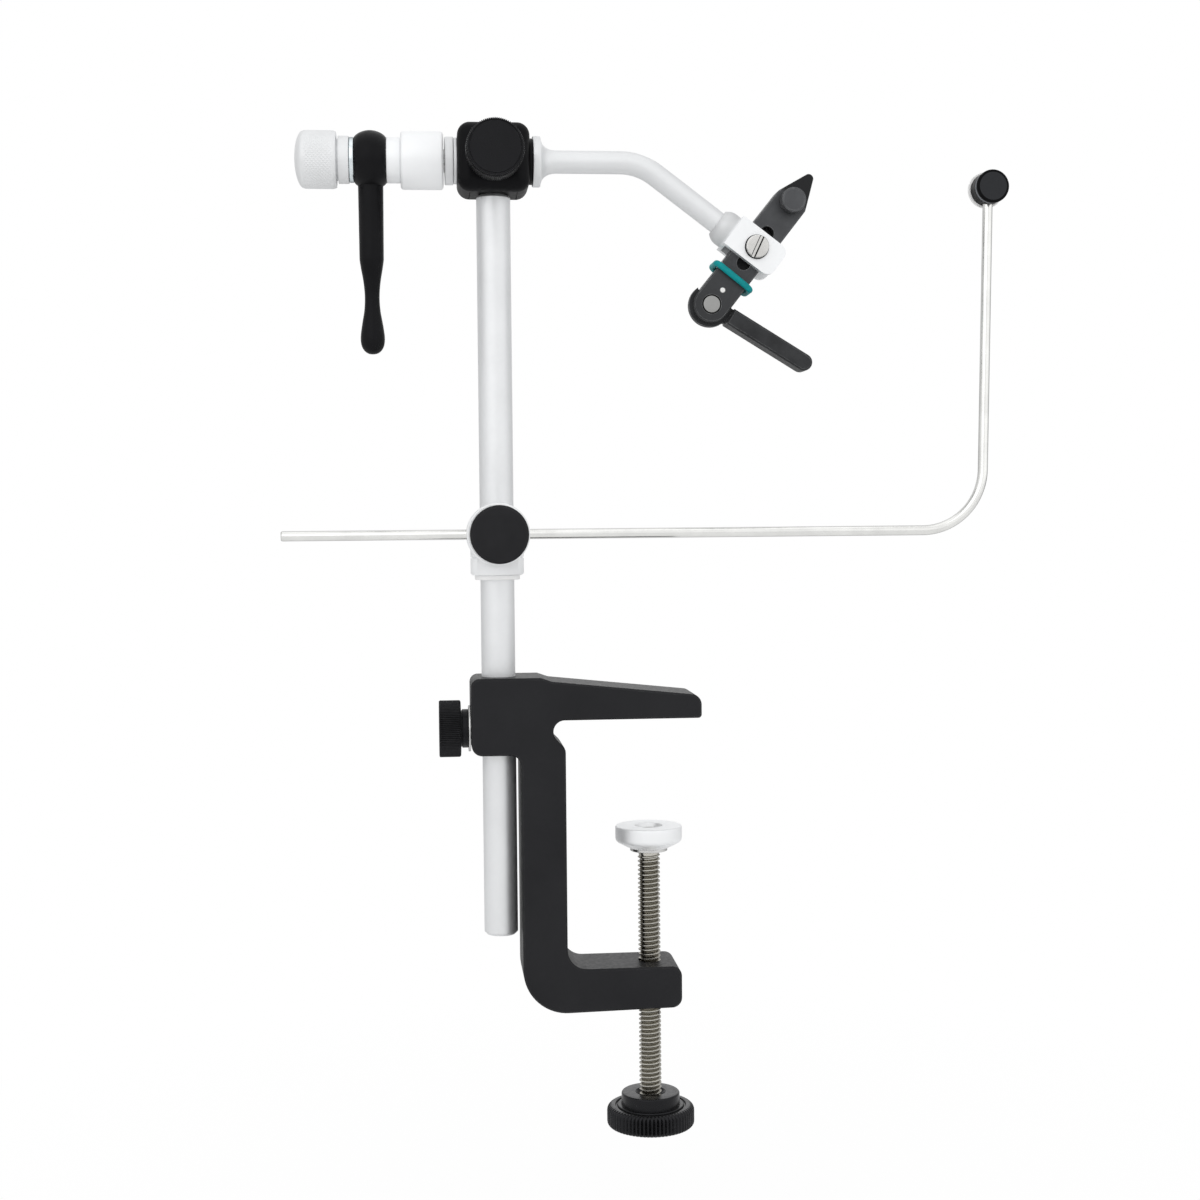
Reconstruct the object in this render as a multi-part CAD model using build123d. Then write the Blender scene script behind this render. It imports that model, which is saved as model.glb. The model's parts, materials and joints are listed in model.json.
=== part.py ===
"""Fly tying vise: C-clamp, stem, bobbin rest, rotary head and cam jaws.

Units are millimetres. +Z is up, +X runs from the stem towards the jaws, +Y points away
from the viewer. The origin is where the clamp screw's axis meets the table face, the flat
underside of the clamp's upper arm.
"""
import math
import os

from build123d import *

# Fits, each per side
RUN = 0.05            # turning or sliding piece in its seat
SEAT = 0.02           # piece fixed in its seat
GAP = 0.4             # open space between neighbours that never touch

# C-clamp frame
FRAME_THICK = 19.05
FRAME_EDGE = 0.5
BLOCK_LEFT = -50.4
BLOCK_TOP = 12.0
BLOCK_BOTTOM = -9.6
BLOCK_TOP_CORNER = 2.3
BLOCK_LOW_CORNER = 3.0
STEP_START = -31.0
STEP_END = -27.9
STEP_DROP = 1.1
STEP_ROUND = 1.6
ARM_TIP_X = 14.2
ARM_TIP_Z = 6.45
ARM_TIP_ROUND = 3.0
ARM_LOW_ROUND = 1.0
SPINE_LEFT = -36.7
SPINE_RIGHT = -24.2
RELIEF_R = 3.2
RELIEF_INSET = 0.2
RELIEF_ROUND = 3.0
LOWER_TOP = -70.3
LOWER_BOTTOM = -82.9
LOWER_END = 8.1
LOWER_END_ROUND = 2.8
LOWER_TAPER = 0.9
THROAT_ROUND = 5.5
HEEL_ROUND = 12.5

# Clamp screw, its knob and the swivel pad
CLAMP_SCREW_R = 3.175
PAD_R = 9.525
PAD_TOP = -31.5
PAD_THICK = 6.35
PAD_SIDE = 4.3
PAD_SIDE_ROUND = 1.5
PAD_FOOT_R = 5.6
PAD_EDGE = 0.5
PAD_SINK_R = 4.05
PAD_SINK_DEPTH = 2.0
SPIGOT_R = 2.4
SPIGOT_HEAD_R = 3.3
SPIGOT_HEAD_THICK = 0.9
PAD_WASHER_R = 5.3
PAD_WASHER_THICK = 0.8
CLAMP_HUB_R = 8.35
CLAMP_HUB_TOP = -108.6
CLAMP_HUB_TALL = 4.2
CLAMP_RING_R = 12.55
CLAMP_KNOB_BOTTOM = -118.3
CLAMP_RING_EDGE = 1.4
CLAMP_GROOVE_WIDE = 1.5
CLAMP_GROOVE_DEEP = 1.2
CLAMP_SCREW_END = 1.5

# Stem
STEM_X = -42.4
STEM_R = 4.7625
STEM_BOTTOM = -61.4
STEM_TOP = 146.5
STEM_EDGE = 0.8
STEM_SPIGOT_R = 3.175
STEM_SPIGOT_TALL = 4.0

# The three black knobs and their screws
KNOB_R = 8.0
KNOB_EDGE = 0.7
KNOB_HUB_R = 5.45
KNOB_SCREW_R = 2.4
KNOB_SCREW_SEAT = 4.0
SHOE_R = 2.3

# Stem lock
LOCK_Z = -2.7
LOCK_KNOB_LEFT = -59.3
LOCK_KNOB_RIGHT = -53.2
LOCK_WASHER_R = 6.5
LOCK_WASHER_THICK = 0.6
LOCK_SHOE_LONG = 1.4

# Bobbin rest
ROD_Z = 52.07
ROD_R = 1.4
ROD_LEFT = -102.0
ROD_RIGHT = 95.6
ROD_LEAN_ANGLE = 1.0
ROD_TOP = 148.4
ROD_BEND = 17.5
ROD_WALL = 0.4
COLLAR_R = 7.5
COLLAR_BELOW = 11.5
COLLAR_ABOVE = 3.5
COLLAR_EDGE = 0.5
COLLAR_GROOVE_BELOW = 6.4
COLLAR_GROOVE = 0.35
BOSS_R = 8.75
BOSS_FRONT = -11.5
BOSS_BACK = -2.5
BUSH_R = 5.65
BUSH_FLANGE_R = 6.35
BUSH_FLANGE_BELOW = 12.8
BUSH_ABOVE = -2.8
CRADLE_KNOB_FRONT = -20.0
CRADLE_KNOB_THICK = 6.4
CRADLE_SHOE_LONG = 1.3

# Button on the rod's top end
BUTTON_R = 4.65
BUTTON_FRONT = 5.1
BUTTON_FLANGE = 1.3
BUTTON_GROOVE = 0.5
BUTTON_GROOVE_R = 4.0
BUTTON_BARREL_R = 4.55
BUTTON_REAR = 1.8
BUTTON_EDGE = 0.4
BUTTON_WASHER_R = 5.1
BUTTON_WASHER_THICK = 0.7
BUTTON_STUD_R = 1.2
ROD_PAST_AXIS = 1.5

# Rotary housing
HOUSING_WIDE = 20.0
HOUSING_DEEP = 19.05
HOUSING_TALL = 19.0
HOUSING_ROUND = 3.5
SET_SCREW_R = 1.5
SET_SCREW_OUT = 8.6

# Spindle, its bushes and the stack on the left, from the housing outwards
SPINDLE_R = 3.175
SPINDLE_PAST_CRANK = 10.7
SPINDLE_NOSE_R = 2.4
SPINDLE_NOSE = 4.0
SPINDLE_BUSH_R = 4.75
BUSH_TO_SHOE = 0.72
BUSH_LIP_R = 6.35
BUSH_LIP_THICK = 0.95
STACK_PLAY = 0.03
THRUST_R = 6.6
THRUST_WIDE = 2.4
BARREL_GAP = 0.35
BARREL_R = 7.95
BARREL_LONG = 11.85
BARREL_ROUND = 0.9
SPACER_R = 6.25
SPACER_LONG = 3.9
CRANK_WIDE = 8.8
CRANK_HUB_EDGE_R = 6.6
CRANK_HUB_CROWN_R = 8.1
CRANK_WASHER_R = 6.2
CRANK_WASHER_THICK = 1.3
END_HUB_R = 6.5
END_HUB_LONG = 3.4
END_KNOB_R = 7.95
END_KNOB_LONG = 11.5
END_KNOB_DOME = 2.6
END_KNOB_EDGE = 0.6
RING_EDGE = 0.3

# Crank grip, depths below the spindle axis
GRIP_TOP_R = 3.5
GRIP_SHOULDER = 27.5
GRIP_SHOULDER_R = 3.35
GRIP_NECK = 38.6
GRIP_NECK_R = 2.05
GRIP_BULB = 49.6
GRIP_BULB_R = 3.35
GRIP_END = 53.6

# Brake
BRAKE_KNOB_FRONT = -20.5
BRAKE_KNOB_THICK = 6.9
BRAKE_SHOE_LONG = 3.0

# Bent arm, from its flange along the spindle axis
ARM_R = 3.175
ARM_FLANGE_R = 7.0
ARM_FLANGE_THICK = 2.2
ARM_FLARE = 6.5
ARM_REACH = 30.3
ARM_DROP_ANGLE = 37.0
ARM_BEND = 17.0
ARM_TO_PIVOT = 40.2

# Jaw holder, measured from the pivot back along the arm
HOLDER_START = 12.7
HOLDER_START_R = 3.8
HOLDER_COLLAR = 9.6
HOLDER_COLLAR_R = 5.1
HOLDER_EAR = 8.1
HOLDER_ROOT = 7.2
HOLDER_SOCKET = 3.5
EAR_HALF = 4.7625
EAR_OUTER = 6.5
EAR_END = 8.0
EAR_ROUND = 2.6
PIVOT_R = 2.0
PIVOT_HEAD_R = 3.2
PIVOT_HEAD_THICK = 1.6
PIVOT_HEAD_ROUND = 0.6
PIVOT_SLOT = 1.25
PIVOT_SLOT_DEEP = 0.9
PIVOT_SLOT_ANGLE = 13.5

# Jaws, in their own frame: x from the pivot towards the tips, y away from the viewer
JAW_TO_ARM_ANGLE = 88.5
JAW_HALF_THICK = 4.0
JAW_HALF_WIDE = 4.7625
JAW_TIP = 27.0
JAW_TIP_R = 1.3
JAW_SHOULDER = 17.0
JAW_TIP_THICK = 0.9
JAW_EDGE = 0.3
JAW_TAIL_R = 5.0
JAW_FACE = 0.03
JAW_SEAT_START = 15.6
JAW_RELIEF = 1.2
ROCKER_R = 0.5
JAW_SIDE_HOLE_R = 2.0
JAW_SIDE_HOLE_AT = 5.35
TAIL_POCKET = -13.4
REAR_POCKET_FLOOR = 2.4
REAR_HOLE_PLAY = 0.3
CAM_PIN_AT = -20.0
CAM_PIN_R = 2.38
CAM_PIN_RIM = 0.35
STOP_PIN_AT = -15.0
STOP_PIN_R = 0.75
STOP_PIN_END = 1.2
STOP_SLOT_OPEN = 0.6
PIN_PROUD = 0.1
THUMB_AT = 16.6
THUMB_R = 3.5
THUMB_TALL = 3.8
THUMB_EDGE = 0.4
THUMB_SCREW_R = 1.5
THUMB_SCREW_END = 2.5
RING_AT = -10.2
RING_R = 0.95
RING_BEND = 1.2

# Cam lever
LEVER_DISC_R = 6.1
LEVER_HALF_DISC = 1.2
LEVER_HALF_BAR = 3.6
LEVER_START = 6.3
LEVER_LENGTH = 33.4
LEVER_WIDE = 4.8
LEVER_EDGE = 0.5
LEVER_ANGLE = -31.5
LEVER_SWING_ANGLE = 60.0

# Places along the spindle, as distances from the stem axis
LIP_FACE = HOUSING_WIDE / 2 + SEAT + BUSH_LIP_THICK
THRUST_RIGHT = LIP_FACE + STACK_PLAY
THRUST_LEFT = THRUST_RIGHT + THRUST_WIDE
BARREL_RIGHT = THRUST_LEFT + BARREL_GAP
BARREL_LEFT = BARREL_RIGHT + BARREL_LONG
CRANK_RIGHT = BARREL_LEFT + SPACER_LONG
CRANK_LEFT = CRANK_RIGHT + CRANK_WIDE
END_HUB_RIGHT = CRANK_LEFT + RUN + CRANK_WASHER_THICK + RUN
END_KNOB_RIGHT = END_HUB_RIGHT + END_HUB_LONG
END_KNOB_LEFT = END_KNOB_RIGHT + END_KNOB_LONG
SPINDLE_LEFT = CRANK_LEFT + SPINDLE_PAST_CRANK
ARM_FLANGE_LEFT = LIP_FACE + STACK_PLAY
ARM_FLARE_END = ARM_FLANGE_LEFT + ARM_FLARE
ARM_VERTEX = ARM_FLANGE_LEFT + ARM_REACH

# Frames and places that follow from the sizes
SPINDLE_Z = STEM_TOP + HOUSING_TALL / 2
HEAD = Pos(STEM_X, 0, SPINDLE_Z)
JAW_RISE_ANGLE = JAW_TO_ARM_ANGLE - ARM_DROP_ANGLE
PIVOT_X = STEM_X + ARM_VERTEX + ARM_TO_PIVOT * math.cos(math.radians(ARM_DROP_ANGLE))
PIVOT_Z = SPINDLE_Z - ARM_TO_PIVOT * math.sin(math.radians(ARM_DROP_ANGLE))
PIVOT = Pos(PIVOT_X, 0, PIVOT_Z)
FORK = PIVOT * Rot(0, ARM_DROP_ANGLE - 90, 0)
JAWS = PIVOT * Rot(0, -JAW_RISE_ANGLE, 0)
ROD_Y = -(STEM_R + RUN + ROD_WALL + ROD_R)


def rod_x(radius, x0, x1, y=0, z=0):
    """Round bar along X between two X values."""
    return Pos((x0 + x1) / 2, y, z) * Rot(0, 90, 0) * Cylinder(radius, abs(x1 - x0))


def rod_y(radius, y0, y1, x=0, z=0):
    """Round bar along Y between two Y values."""
    return Pos(x, (y0 + y1) / 2, z) * Rot(90, 0, 0) * Cylinder(radius, abs(y1 - y0))


def rod_z(radius, z0, z1, x=0, y=0):
    """Round bar along Z between two Z values."""
    return Pos(x, y, (z0 + z1) / 2) * Cylinder(radius, abs(z1 - z0))


def slab(x0, x1, y0, y1, z0, z1):
    """Box between two corners."""
    centre = Pos((x0 + x1) / 2, (y0 + y1) / 2, (z0 + z1) / 2)
    return centre * Box(abs(x1 - x0), abs(y1 - y0), abs(z1 - z0))


def rims(solid):
    """The circular edges of a turned piece."""
    return solid.edges().filter_by(GeomType.CIRCLE)


def soft(solid, radius):
    """A turned piece with both its rims rounded."""
    return fillet(rims(solid), radius)


def crisp(solid, bevel):
    """A turned piece with both its rims bevelled."""
    return chamfer(rims(solid), bevel)


def round_corners(face, corners):
    """Round the corners of a flat outline, each by its own radius."""
    for point, radius in corners:
        corner = face.vertices().sort_by_distance(Vector(*point))[0]
        face = fillet(corner, radius)
    return face


def bent_path(points, radii):
    """A line through the points with each inner corner turned into an arc."""
    stops = [Vector(*p) for p in points]
    edges = []
    start = stops[0]
    for before, corner, after, radius in zip(stops, stops[1:], stops[2:], radii):
        back = (before - corner).normalized()
        ahead = (after - corner).normalized()
        half = math.radians(back.get_angle(ahead)) / 2
        inset = radius / math.tan(half)
        middle = (back + ahead).normalized() * (radius / math.sin(half) - radius)
        edges.append(Line(start, corner + back * inset))
        edges.append(ThreePointArc(corner + back * inset, corner + middle, corner + ahead * inset))
        start = corner + ahead * inset
    edges.append(Line(start, stops[-1]))
    return Wire(edges)


def bar_along(path, radius):
    """Round bar swept along a path."""
    section = Plane(path @ 0, z_dir=path % 0) * Circle(radius)
    return sweep(section, path=path)


def save(node, shape):
    """Write one piece to its file."""
    export_step(shape, "parts/" + node + ".step")


def clamp_outline():
    """Side view of the C-clamp frame."""
    notch = SPINE_RIGHT - RELIEF_INSET
    across = RELIEF_R * math.sqrt(0.5)
    notch_end = (notch - across, -RELIEF_R - across)
    back_on_spine = (SPINE_RIGHT, notch_end[1] - (SPINE_RIGHT - notch_end[0]))
    toe = (LOWER_END, LOWER_BOTTOM + LOWER_TAPER)
    rim = [(notch, 0), (ARM_TIP_X, 0), (ARM_TIP_X, ARM_TIP_Z), (STEP_END, BLOCK_TOP - STEP_DROP),
           (STEP_START, BLOCK_TOP), (BLOCK_LEFT, BLOCK_TOP), (BLOCK_LEFT, BLOCK_BOTTOM),
           (SPINE_LEFT, BLOCK_BOTTOM), (SPINE_LEFT, LOWER_BOTTOM), toe,
           (LOWER_END, LOWER_TOP), (SPINE_RIGHT, LOWER_TOP), back_on_spine, notch_end]
    edges = [Line(a, b) for a, b in zip(rim, rim[1:])]
    edges.append(ThreePointArc(notch_end, (notch - RELIEF_R, -RELIEF_R), (notch, 0)))
    return round_corners(make_face(edges), [
        ((ARM_TIP_X, 0), ARM_LOW_ROUND), ((ARM_TIP_X, ARM_TIP_Z), ARM_TIP_ROUND),
        ((STEP_END, BLOCK_TOP - STEP_DROP), STEP_ROUND), ((STEP_START, BLOCK_TOP), STEP_ROUND),
        ((BLOCK_LEFT, BLOCK_TOP), BLOCK_TOP_CORNER),
        ((BLOCK_LEFT, BLOCK_BOTTOM), BLOCK_LOW_CORNER),
        ((SPINE_LEFT, BLOCK_BOTTOM), BLOCK_LOW_CORNER), ((SPINE_LEFT, LOWER_BOTTOM), HEEL_ROUND),
        (toe, LOWER_END_ROUND), ((LOWER_END, LOWER_TOP), LOWER_END_ROUND),
        ((SPINE_RIGHT, LOWER_TOP), THROAT_ROUND), (back_on_spine, RELIEF_ROUND)])


def c_clamp_frame():
    """Frame with its stem bore, lock hole and screw hole."""
    frame = extrude(Plane.XZ * clamp_outline(), FRAME_THICK / 2, both=True)
    front = frame.faces().sort_by(Axis.Y)[0]
    back = frame.faces().sort_by(Axis.Y)[-1]
    frame = chamfer(front.edges() + back.edges(), FRAME_EDGE)
    frame -= rod_z(STEM_R + RUN, BLOCK_BOTTOM - BLOCK_LOW_CORNER, BLOCK_TOP + GAP, STEM_X)
    frame -= rod_x(KNOB_SCREW_R + RUN, BLOCK_LEFT - GAP, STEM_X, 0, LOCK_Z)
    frame -= rod_z(CLAMP_SCREW_R + RUN, LOWER_BOTTOM - GAP, LOWER_TOP + GAP)
    return frame


def clamp_pad():
    """Swivel pad with a dished foot and a sunk hole on top."""
    foot = PAD_TOP - PAD_THICK
    side = PAD_TOP - PAD_SIDE
    outline = make_face(Polyline((0, PAD_TOP), (PAD_R, PAD_TOP), (PAD_R, side),
                                 (PAD_FOOT_R, foot), (0, foot), close=True))
    outline = round_corners(outline, [((PAD_R, PAD_TOP), PAD_EDGE), ((PAD_R, side), PAD_SIDE_ROUND)])
    pad = revolve(Plane.XZ * outline, Axis.Z)
    pad -= rod_z(SPIGOT_R + RUN, foot - GAP, PAD_TOP + GAP)
    sink = Cone(SPIGOT_HEAD_R + RUN, PAD_SINK_R, PAD_SINK_DEPTH)
    return pad - Pos(0, 0, PAD_TOP - PAD_SINK_DEPTH / 2) * sink


def clamp_pad_washer():
    """Thrust washer between the screw's shoulder and the pad."""
    top = PAD_TOP - PAD_THICK - RUN
    ring = rod_z(PAD_WASHER_R, top - PAD_WASHER_THICK, top)
    return ring - rod_z(SPIGOT_R + SEAT, top - PAD_WASHER_THICK, top)


def clamp_screw():
    """Clamp screw with a spigot spread inside the pad's sunk hole."""
    shoulder = PAD_TOP - PAD_THICK - RUN - PAD_WASHER_THICK
    head = PAD_TOP - PAD_SINK_DEPTH + RUN
    screw = rod_z(CLAMP_SCREW_R, CLAMP_KNOB_BOTTOM + CLAMP_SCREW_END, shoulder)
    screw += rod_z(SPIGOT_R, shoulder, head)
    return screw + rod_z(SPIGOT_HEAD_R, head, head + SPIGOT_HEAD_THICK)


def clamp_screw_knob():
    """Knob with a raised hub and a groove round it."""
    shelf = CLAMP_HUB_TOP - CLAMP_HUB_TALL
    ring = soft(rod_z(CLAMP_RING_R, CLAMP_KNOB_BOTTOM, shelf), CLAMP_RING_EDGE)
    groove = rod_z(CLAMP_HUB_R + CLAMP_GROOVE_WIDE, shelf - CLAMP_GROOVE_DEEP, shelf)
    hub = rod_z(CLAMP_HUB_R, CLAMP_KNOB_BOTTOM + CLAMP_RING_EDGE, CLAMP_HUB_TOP)
    hub = chamfer(rims(hub).sort_by(Axis.Z)[-1], KNOB_EDGE)
    knob = ring - groove + hub
    return knob - rod_z(CLAMP_SCREW_R + SEAT, CLAMP_KNOB_BOTTOM + CLAMP_SCREW_END, CLAMP_HUB_TOP)


def stem():
    """Upright bar with a spigot for the housing."""
    bar = crisp(rod_z(STEM_R, STEM_BOTTOM, STEM_TOP, STEM_X), STEM_EDGE)
    return bar + rod_z(STEM_SPIGOT_R, STEM_TOP, STEM_TOP + STEM_SPIGOT_TALL, STEM_X)


def knob(thick, hub_long, seat):
    """Black knob along Z: front face at 0, body below it, hub at the bottom."""
    body = crisp(rod_z(KNOB_R, -thick, 0), KNOB_EDGE)
    hub = rod_z(KNOB_HUB_R, -thick - hub_long, -thick)
    return body + hub - rod_z(KNOB_SCREW_R + SEAT, -thick - hub_long, -thick + seat)


def stem_lock():
    """Knob, screw, washer and shoe of the stem lock."""
    washer_left = BLOCK_LEFT - RUN - LOCK_WASHER_THICK
    hub_long = washer_left - SEAT - LOCK_KNOB_RIGHT
    thick = LOCK_KNOB_RIGHT - LOCK_KNOB_LEFT
    at = Pos(LOCK_KNOB_LEFT, 0, LOCK_Z) * Rot(0, -90, 0)
    save("stem_lock_knob", at * knob(thick, hub_long, KNOB_SCREW_SEAT))
    washer = rod_x(LOCK_WASHER_R, washer_left, BLOCK_LEFT - RUN, 0, LOCK_Z)
    washer -= rod_x(KNOB_SCREW_R + SEAT, washer_left, BLOCK_LEFT, 0, LOCK_Z)
    save("stem_lock_washer", washer)
    shoe_tip = STEM_X - STEM_R - RUN
    shoe_back = shoe_tip - LOCK_SHOE_LONG
    save("stem_lock_shoe", rod_x(SHOE_R, shoe_back, shoe_tip, 0, LOCK_Z))
    screw_left = LOCK_KNOB_RIGHT - KNOB_SCREW_SEAT
    save("stem_lock_screw", rod_x(KNOB_SCREW_R, screw_left, shoe_back - RUN, 0, LOCK_Z))


def cradle_bush():
    """Flanged bush that slides on the stem inside the collar."""
    low = ROD_Z - BUSH_FLANGE_BELOW
    flange_top = ROD_Z - COLLAR_BELOW - RUN
    bush = rod_z(BUSH_FLANGE_R, low, flange_top, STEM_X)
    bush += rod_z(BUSH_R, flange_top, ROD_Z + BUSH_ABOVE, STEM_X)
    return bush - rod_z(STEM_R + RUN, low, ROD_Z + BUSH_ABOVE, STEM_X)


def cradle_collar():
    """Collar with a front boss, bored for the stem, the bush, the rod and the knob's screw."""
    low = ROD_Z - COLLAR_BELOW
    top = ROD_Z + COLLAR_ABOVE
    collar = crisp(rod_z(COLLAR_R, low, top, STEM_X), COLLAR_EDGE)
    boss = crisp(rod_y(BOSS_R, BOSS_FRONT, BOSS_BACK, STEM_X, ROD_Z), COLLAR_EDGE)
    line = ROD_Z - COLLAR_GROOVE_BELOW
    groove = rod_z(COLLAR_R, line - COLLAR_GROOVE, line, STEM_X)
    groove -= rod_z(COLLAR_R - COLLAR_GROOVE, line - COLLAR_GROOVE, line, STEM_X)
    collar = collar - groove + boss
    collar -= rod_z(STEM_R + RUN, low, ROD_Z + BOSS_R, STEM_X)
    collar -= rod_z(BUSH_R + RUN, low, ROD_Z + BUSH_ABOVE + RUN, STEM_X)
    collar -= rod_x(ROD_R + RUN, STEM_X - BOSS_R, STEM_X + BOSS_R, ROD_Y, ROD_Z)
    return collar - rod_y(KNOB_SCREW_R + RUN, BOSS_FRONT, ROD_Y, STEM_X, ROD_Z)


def cradle_lock():
    """Front knob of the bobbin rest, with its screw and shoe."""
    hub_end = BOSS_FRONT - GAP
    hub_start = CRADLE_KNOB_FRONT + CRADLE_KNOB_THICK
    at = Pos(STEM_X, CRADLE_KNOB_FRONT, ROD_Z) * Rot(90, 0, 0)
    save("cradle_knob", at * knob(CRADLE_KNOB_THICK, hub_end - hub_start, KNOB_SCREW_SEAT))
    shoe_tip = ROD_Y - ROD_R - RUN
    shoe_back = shoe_tip - CRADLE_SHOE_LONG
    save("cradle_shoe", rod_y(SHOE_R, shoe_back, shoe_tip, STEM_X, ROD_Z))
    screw_front = hub_start - KNOB_SCREW_SEAT
    save("cradle_knob_screw", rod_y(KNOB_SCREW_R, screw_front, shoe_back - RUN, STEM_X, ROD_Z))


def rod_top_x():
    """X of the rod's upper end, which leans slightly outwards."""
    return ROD_RIGHT + (ROD_TOP - ROD_Z) * math.tan(math.radians(ROD_LEAN_ANGLE))


def cradle_rod():
    """Steel rod bent up at its right end."""
    lean = math.tan(math.radians(ROD_LEAN_ANGLE))
    end = (rod_top_x() + ROD_PAST_AXIS * lean, ROD_Y, ROD_TOP + ROD_PAST_AXIS)
    path = bent_path([(ROD_LEFT, ROD_Y, ROD_Z), (ROD_RIGHT, ROD_Y, ROD_Z), end], [ROD_BEND])
    return bar_along(path, ROD_R)


def rod_button(rod):
    """Grooved button on the rod's end, and the washer on its back."""
    x = rod_top_x()
    front = ROD_Y - BUTTON_FRONT
    groove = front + BUTTON_FLANGE
    barrel = groove + BUTTON_GROOVE
    rear = ROD_Y + BUTTON_REAR
    button = crisp(rod_y(BUTTON_R, front, groove, x, ROD_TOP), BUTTON_EDGE)
    button += rod_y(BUTTON_GROOVE_R, groove, barrel, x, ROD_TOP)
    button += crisp(rod_y(BUTTON_BARREL_R, barrel, rear, x, ROD_TOP), BUTTON_EDGE)
    button += rod_y(BUTTON_STUD_R, rear, rear + BUTTON_WASHER_THICK, x, ROD_TOP)
    save("rod_button", button - rod)
    washer = rod_y(BUTTON_WASHER_R, rear + SEAT, rear + BUTTON_WASHER_THICK, x, ROD_TOP)
    washer -= rod_y(BUTTON_STUD_R + SEAT, rear, rear + BUTTON_WASHER_THICK, x, ROD_TOP)
    save("rod_button_washer", washer)


def rotary_housing():
    """Rounded block bored for the spindle bushes, the brake and the stem."""
    low = STEM_TOP - SPINDLE_Z
    body = fillet(Box(HOUSING_WIDE, HOUSING_DEEP, HOUSING_TALL).edges(), HOUSING_ROUND)
    body -= rod_x(SPINDLE_BUSH_R + SEAT, -HOUSING_WIDE, HOUSING_WIDE)
    body -= rod_z(STEM_SPIGOT_R + RUN, low - GAP, low + STEM_SPIGOT_TALL + RUN)
    body -= rod_y(KNOB_SCREW_R + RUN, -HOUSING_DEEP, 0)
    return HEAD * (body - rod_y(SET_SCREW_R + SEAT, 0, HOUSING_DEEP, 0, low + STEM_SPIGOT_TALL / 2))


def stem_set_screw():
    """Set screw at the back that holds the housing on the stem's spigot."""
    height = STEM_TOP - SPINDLE_Z + STEM_SPIGOT_TALL / 2
    return HEAD * rod_y(SET_SCREW_R, STEM_SPIGOT_R + RUN, SET_SCREW_OUT, 0, height)


def spindle_bush():
    """Flanged bush for the right side, lip outwards."""
    inner = SHOE_R + BUSH_TO_SHOE
    seat = LIP_FACE - BUSH_LIP_THICK
    bush = rod_x(SPINDLE_BUSH_R, inner, seat)
    bush += crisp(rod_x(BUSH_LIP_R, seat, LIP_FACE), RING_EDGE)
    return bush - rod_x(SPINDLE_R + RUN, inner, LIP_FACE)


def spindle():
    """Shaft through the head, with a nose that sits in the arm's flange."""
    shaft = rod_x(SPINDLE_R, -SPINDLE_LEFT, ARM_FLANGE_LEFT)
    return HEAD * (shaft + rod_x(SPINDLE_NOSE_R, ARM_FLANGE_LEFT, ARM_FLANGE_LEFT + SPINDLE_NOSE))


def stack_ring(radius, right, left):
    """Ring on the spindle between two distances left of the stem axis."""
    ring = crisp(rod_x(radius, -left, -right), RING_EDGE)
    return HEAD * (ring - rod_x(SPINDLE_R + SEAT, -left, -right))


def lock_barrel():
    """Barrel that fixes the stack on the spindle, and its set screw at the back."""
    middle = -(BARREL_LEFT + BARREL_RIGHT) / 2
    hole = rod_y(SET_SCREW_R + SEAT, 0, BARREL_R, middle)
    barrel = soft(rod_x(BARREL_R, -BARREL_LEFT, -BARREL_RIGHT), BARREL_ROUND)
    barrel -= rod_x(SPINDLE_R + SEAT, -BARREL_LEFT, -BARREL_RIGHT)
    save("lock_barrel", HEAD * (barrel - hole))
    save("barrel_set_screw", HEAD * rod_y(SET_SCREW_R, SPINDLE_R + SEAT, BARREL_R - GAP, middle))


def crank_handle():
    """Crank: crowned hub on the spindle and a turned grip with a bulb at its end."""
    middle = -(CRANK_LEFT + CRANK_RIGHT) / 2
    crown = Spline((-CRANK_LEFT, CRANK_HUB_EDGE_R), (middle, CRANK_HUB_CROWN_R),
                   (-CRANK_RIGHT, CRANK_HUB_EDGE_R))
    sides = Polyline((-CRANK_RIGHT, CRANK_HUB_EDGE_R), (-CRANK_RIGHT, 0), (-CRANK_LEFT, 0),
                     (-CRANK_LEFT, CRANK_HUB_EDGE_R))
    hub = revolve(Plane.XZ * make_face(crown.edges() + sides.edges()), Axis.X)
    shank = Line((GRIP_TOP_R, 0), (GRIP_SHOULDER_R, -GRIP_SHOULDER))
    waist = Spline((GRIP_SHOULDER_R, -GRIP_SHOULDER), (GRIP_NECK_R, -GRIP_NECK),
                   (GRIP_BULB_R, -GRIP_BULB), tangents=[(-1, -2), (0, -1)])
    tip = Spline((GRIP_BULB_R, -GRIP_BULB), (0, -GRIP_END), tangents=[(0, -1), (-1, 0)])
    core = Polyline((0, -GRIP_END), (0, 0), (GRIP_TOP_R, 0))
    half = make_face(shank.edges() + waist.edges() + tip.edges() + core.edges())
    grip = Pos(middle, 0, 0) * revolve(Plane.XZ * half, Axis.Z)
    return HEAD * (hub + grip - rod_x(SPINDLE_R + SEAT, -CRANK_LEFT, -CRANK_RIGHT))


def crank_washer():
    """Thin washer between the end knob and the crank, free to slide on the spindle."""
    right = -CRANK_LEFT - RUN
    ring = crisp(rod_x(CRANK_WASHER_R, right - CRANK_WASHER_THICK, right), RING_EDGE)
    return HEAD * (ring - rod_x(SPINDLE_R + RUN, right - CRANK_WASHER_THICK, right))


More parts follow.
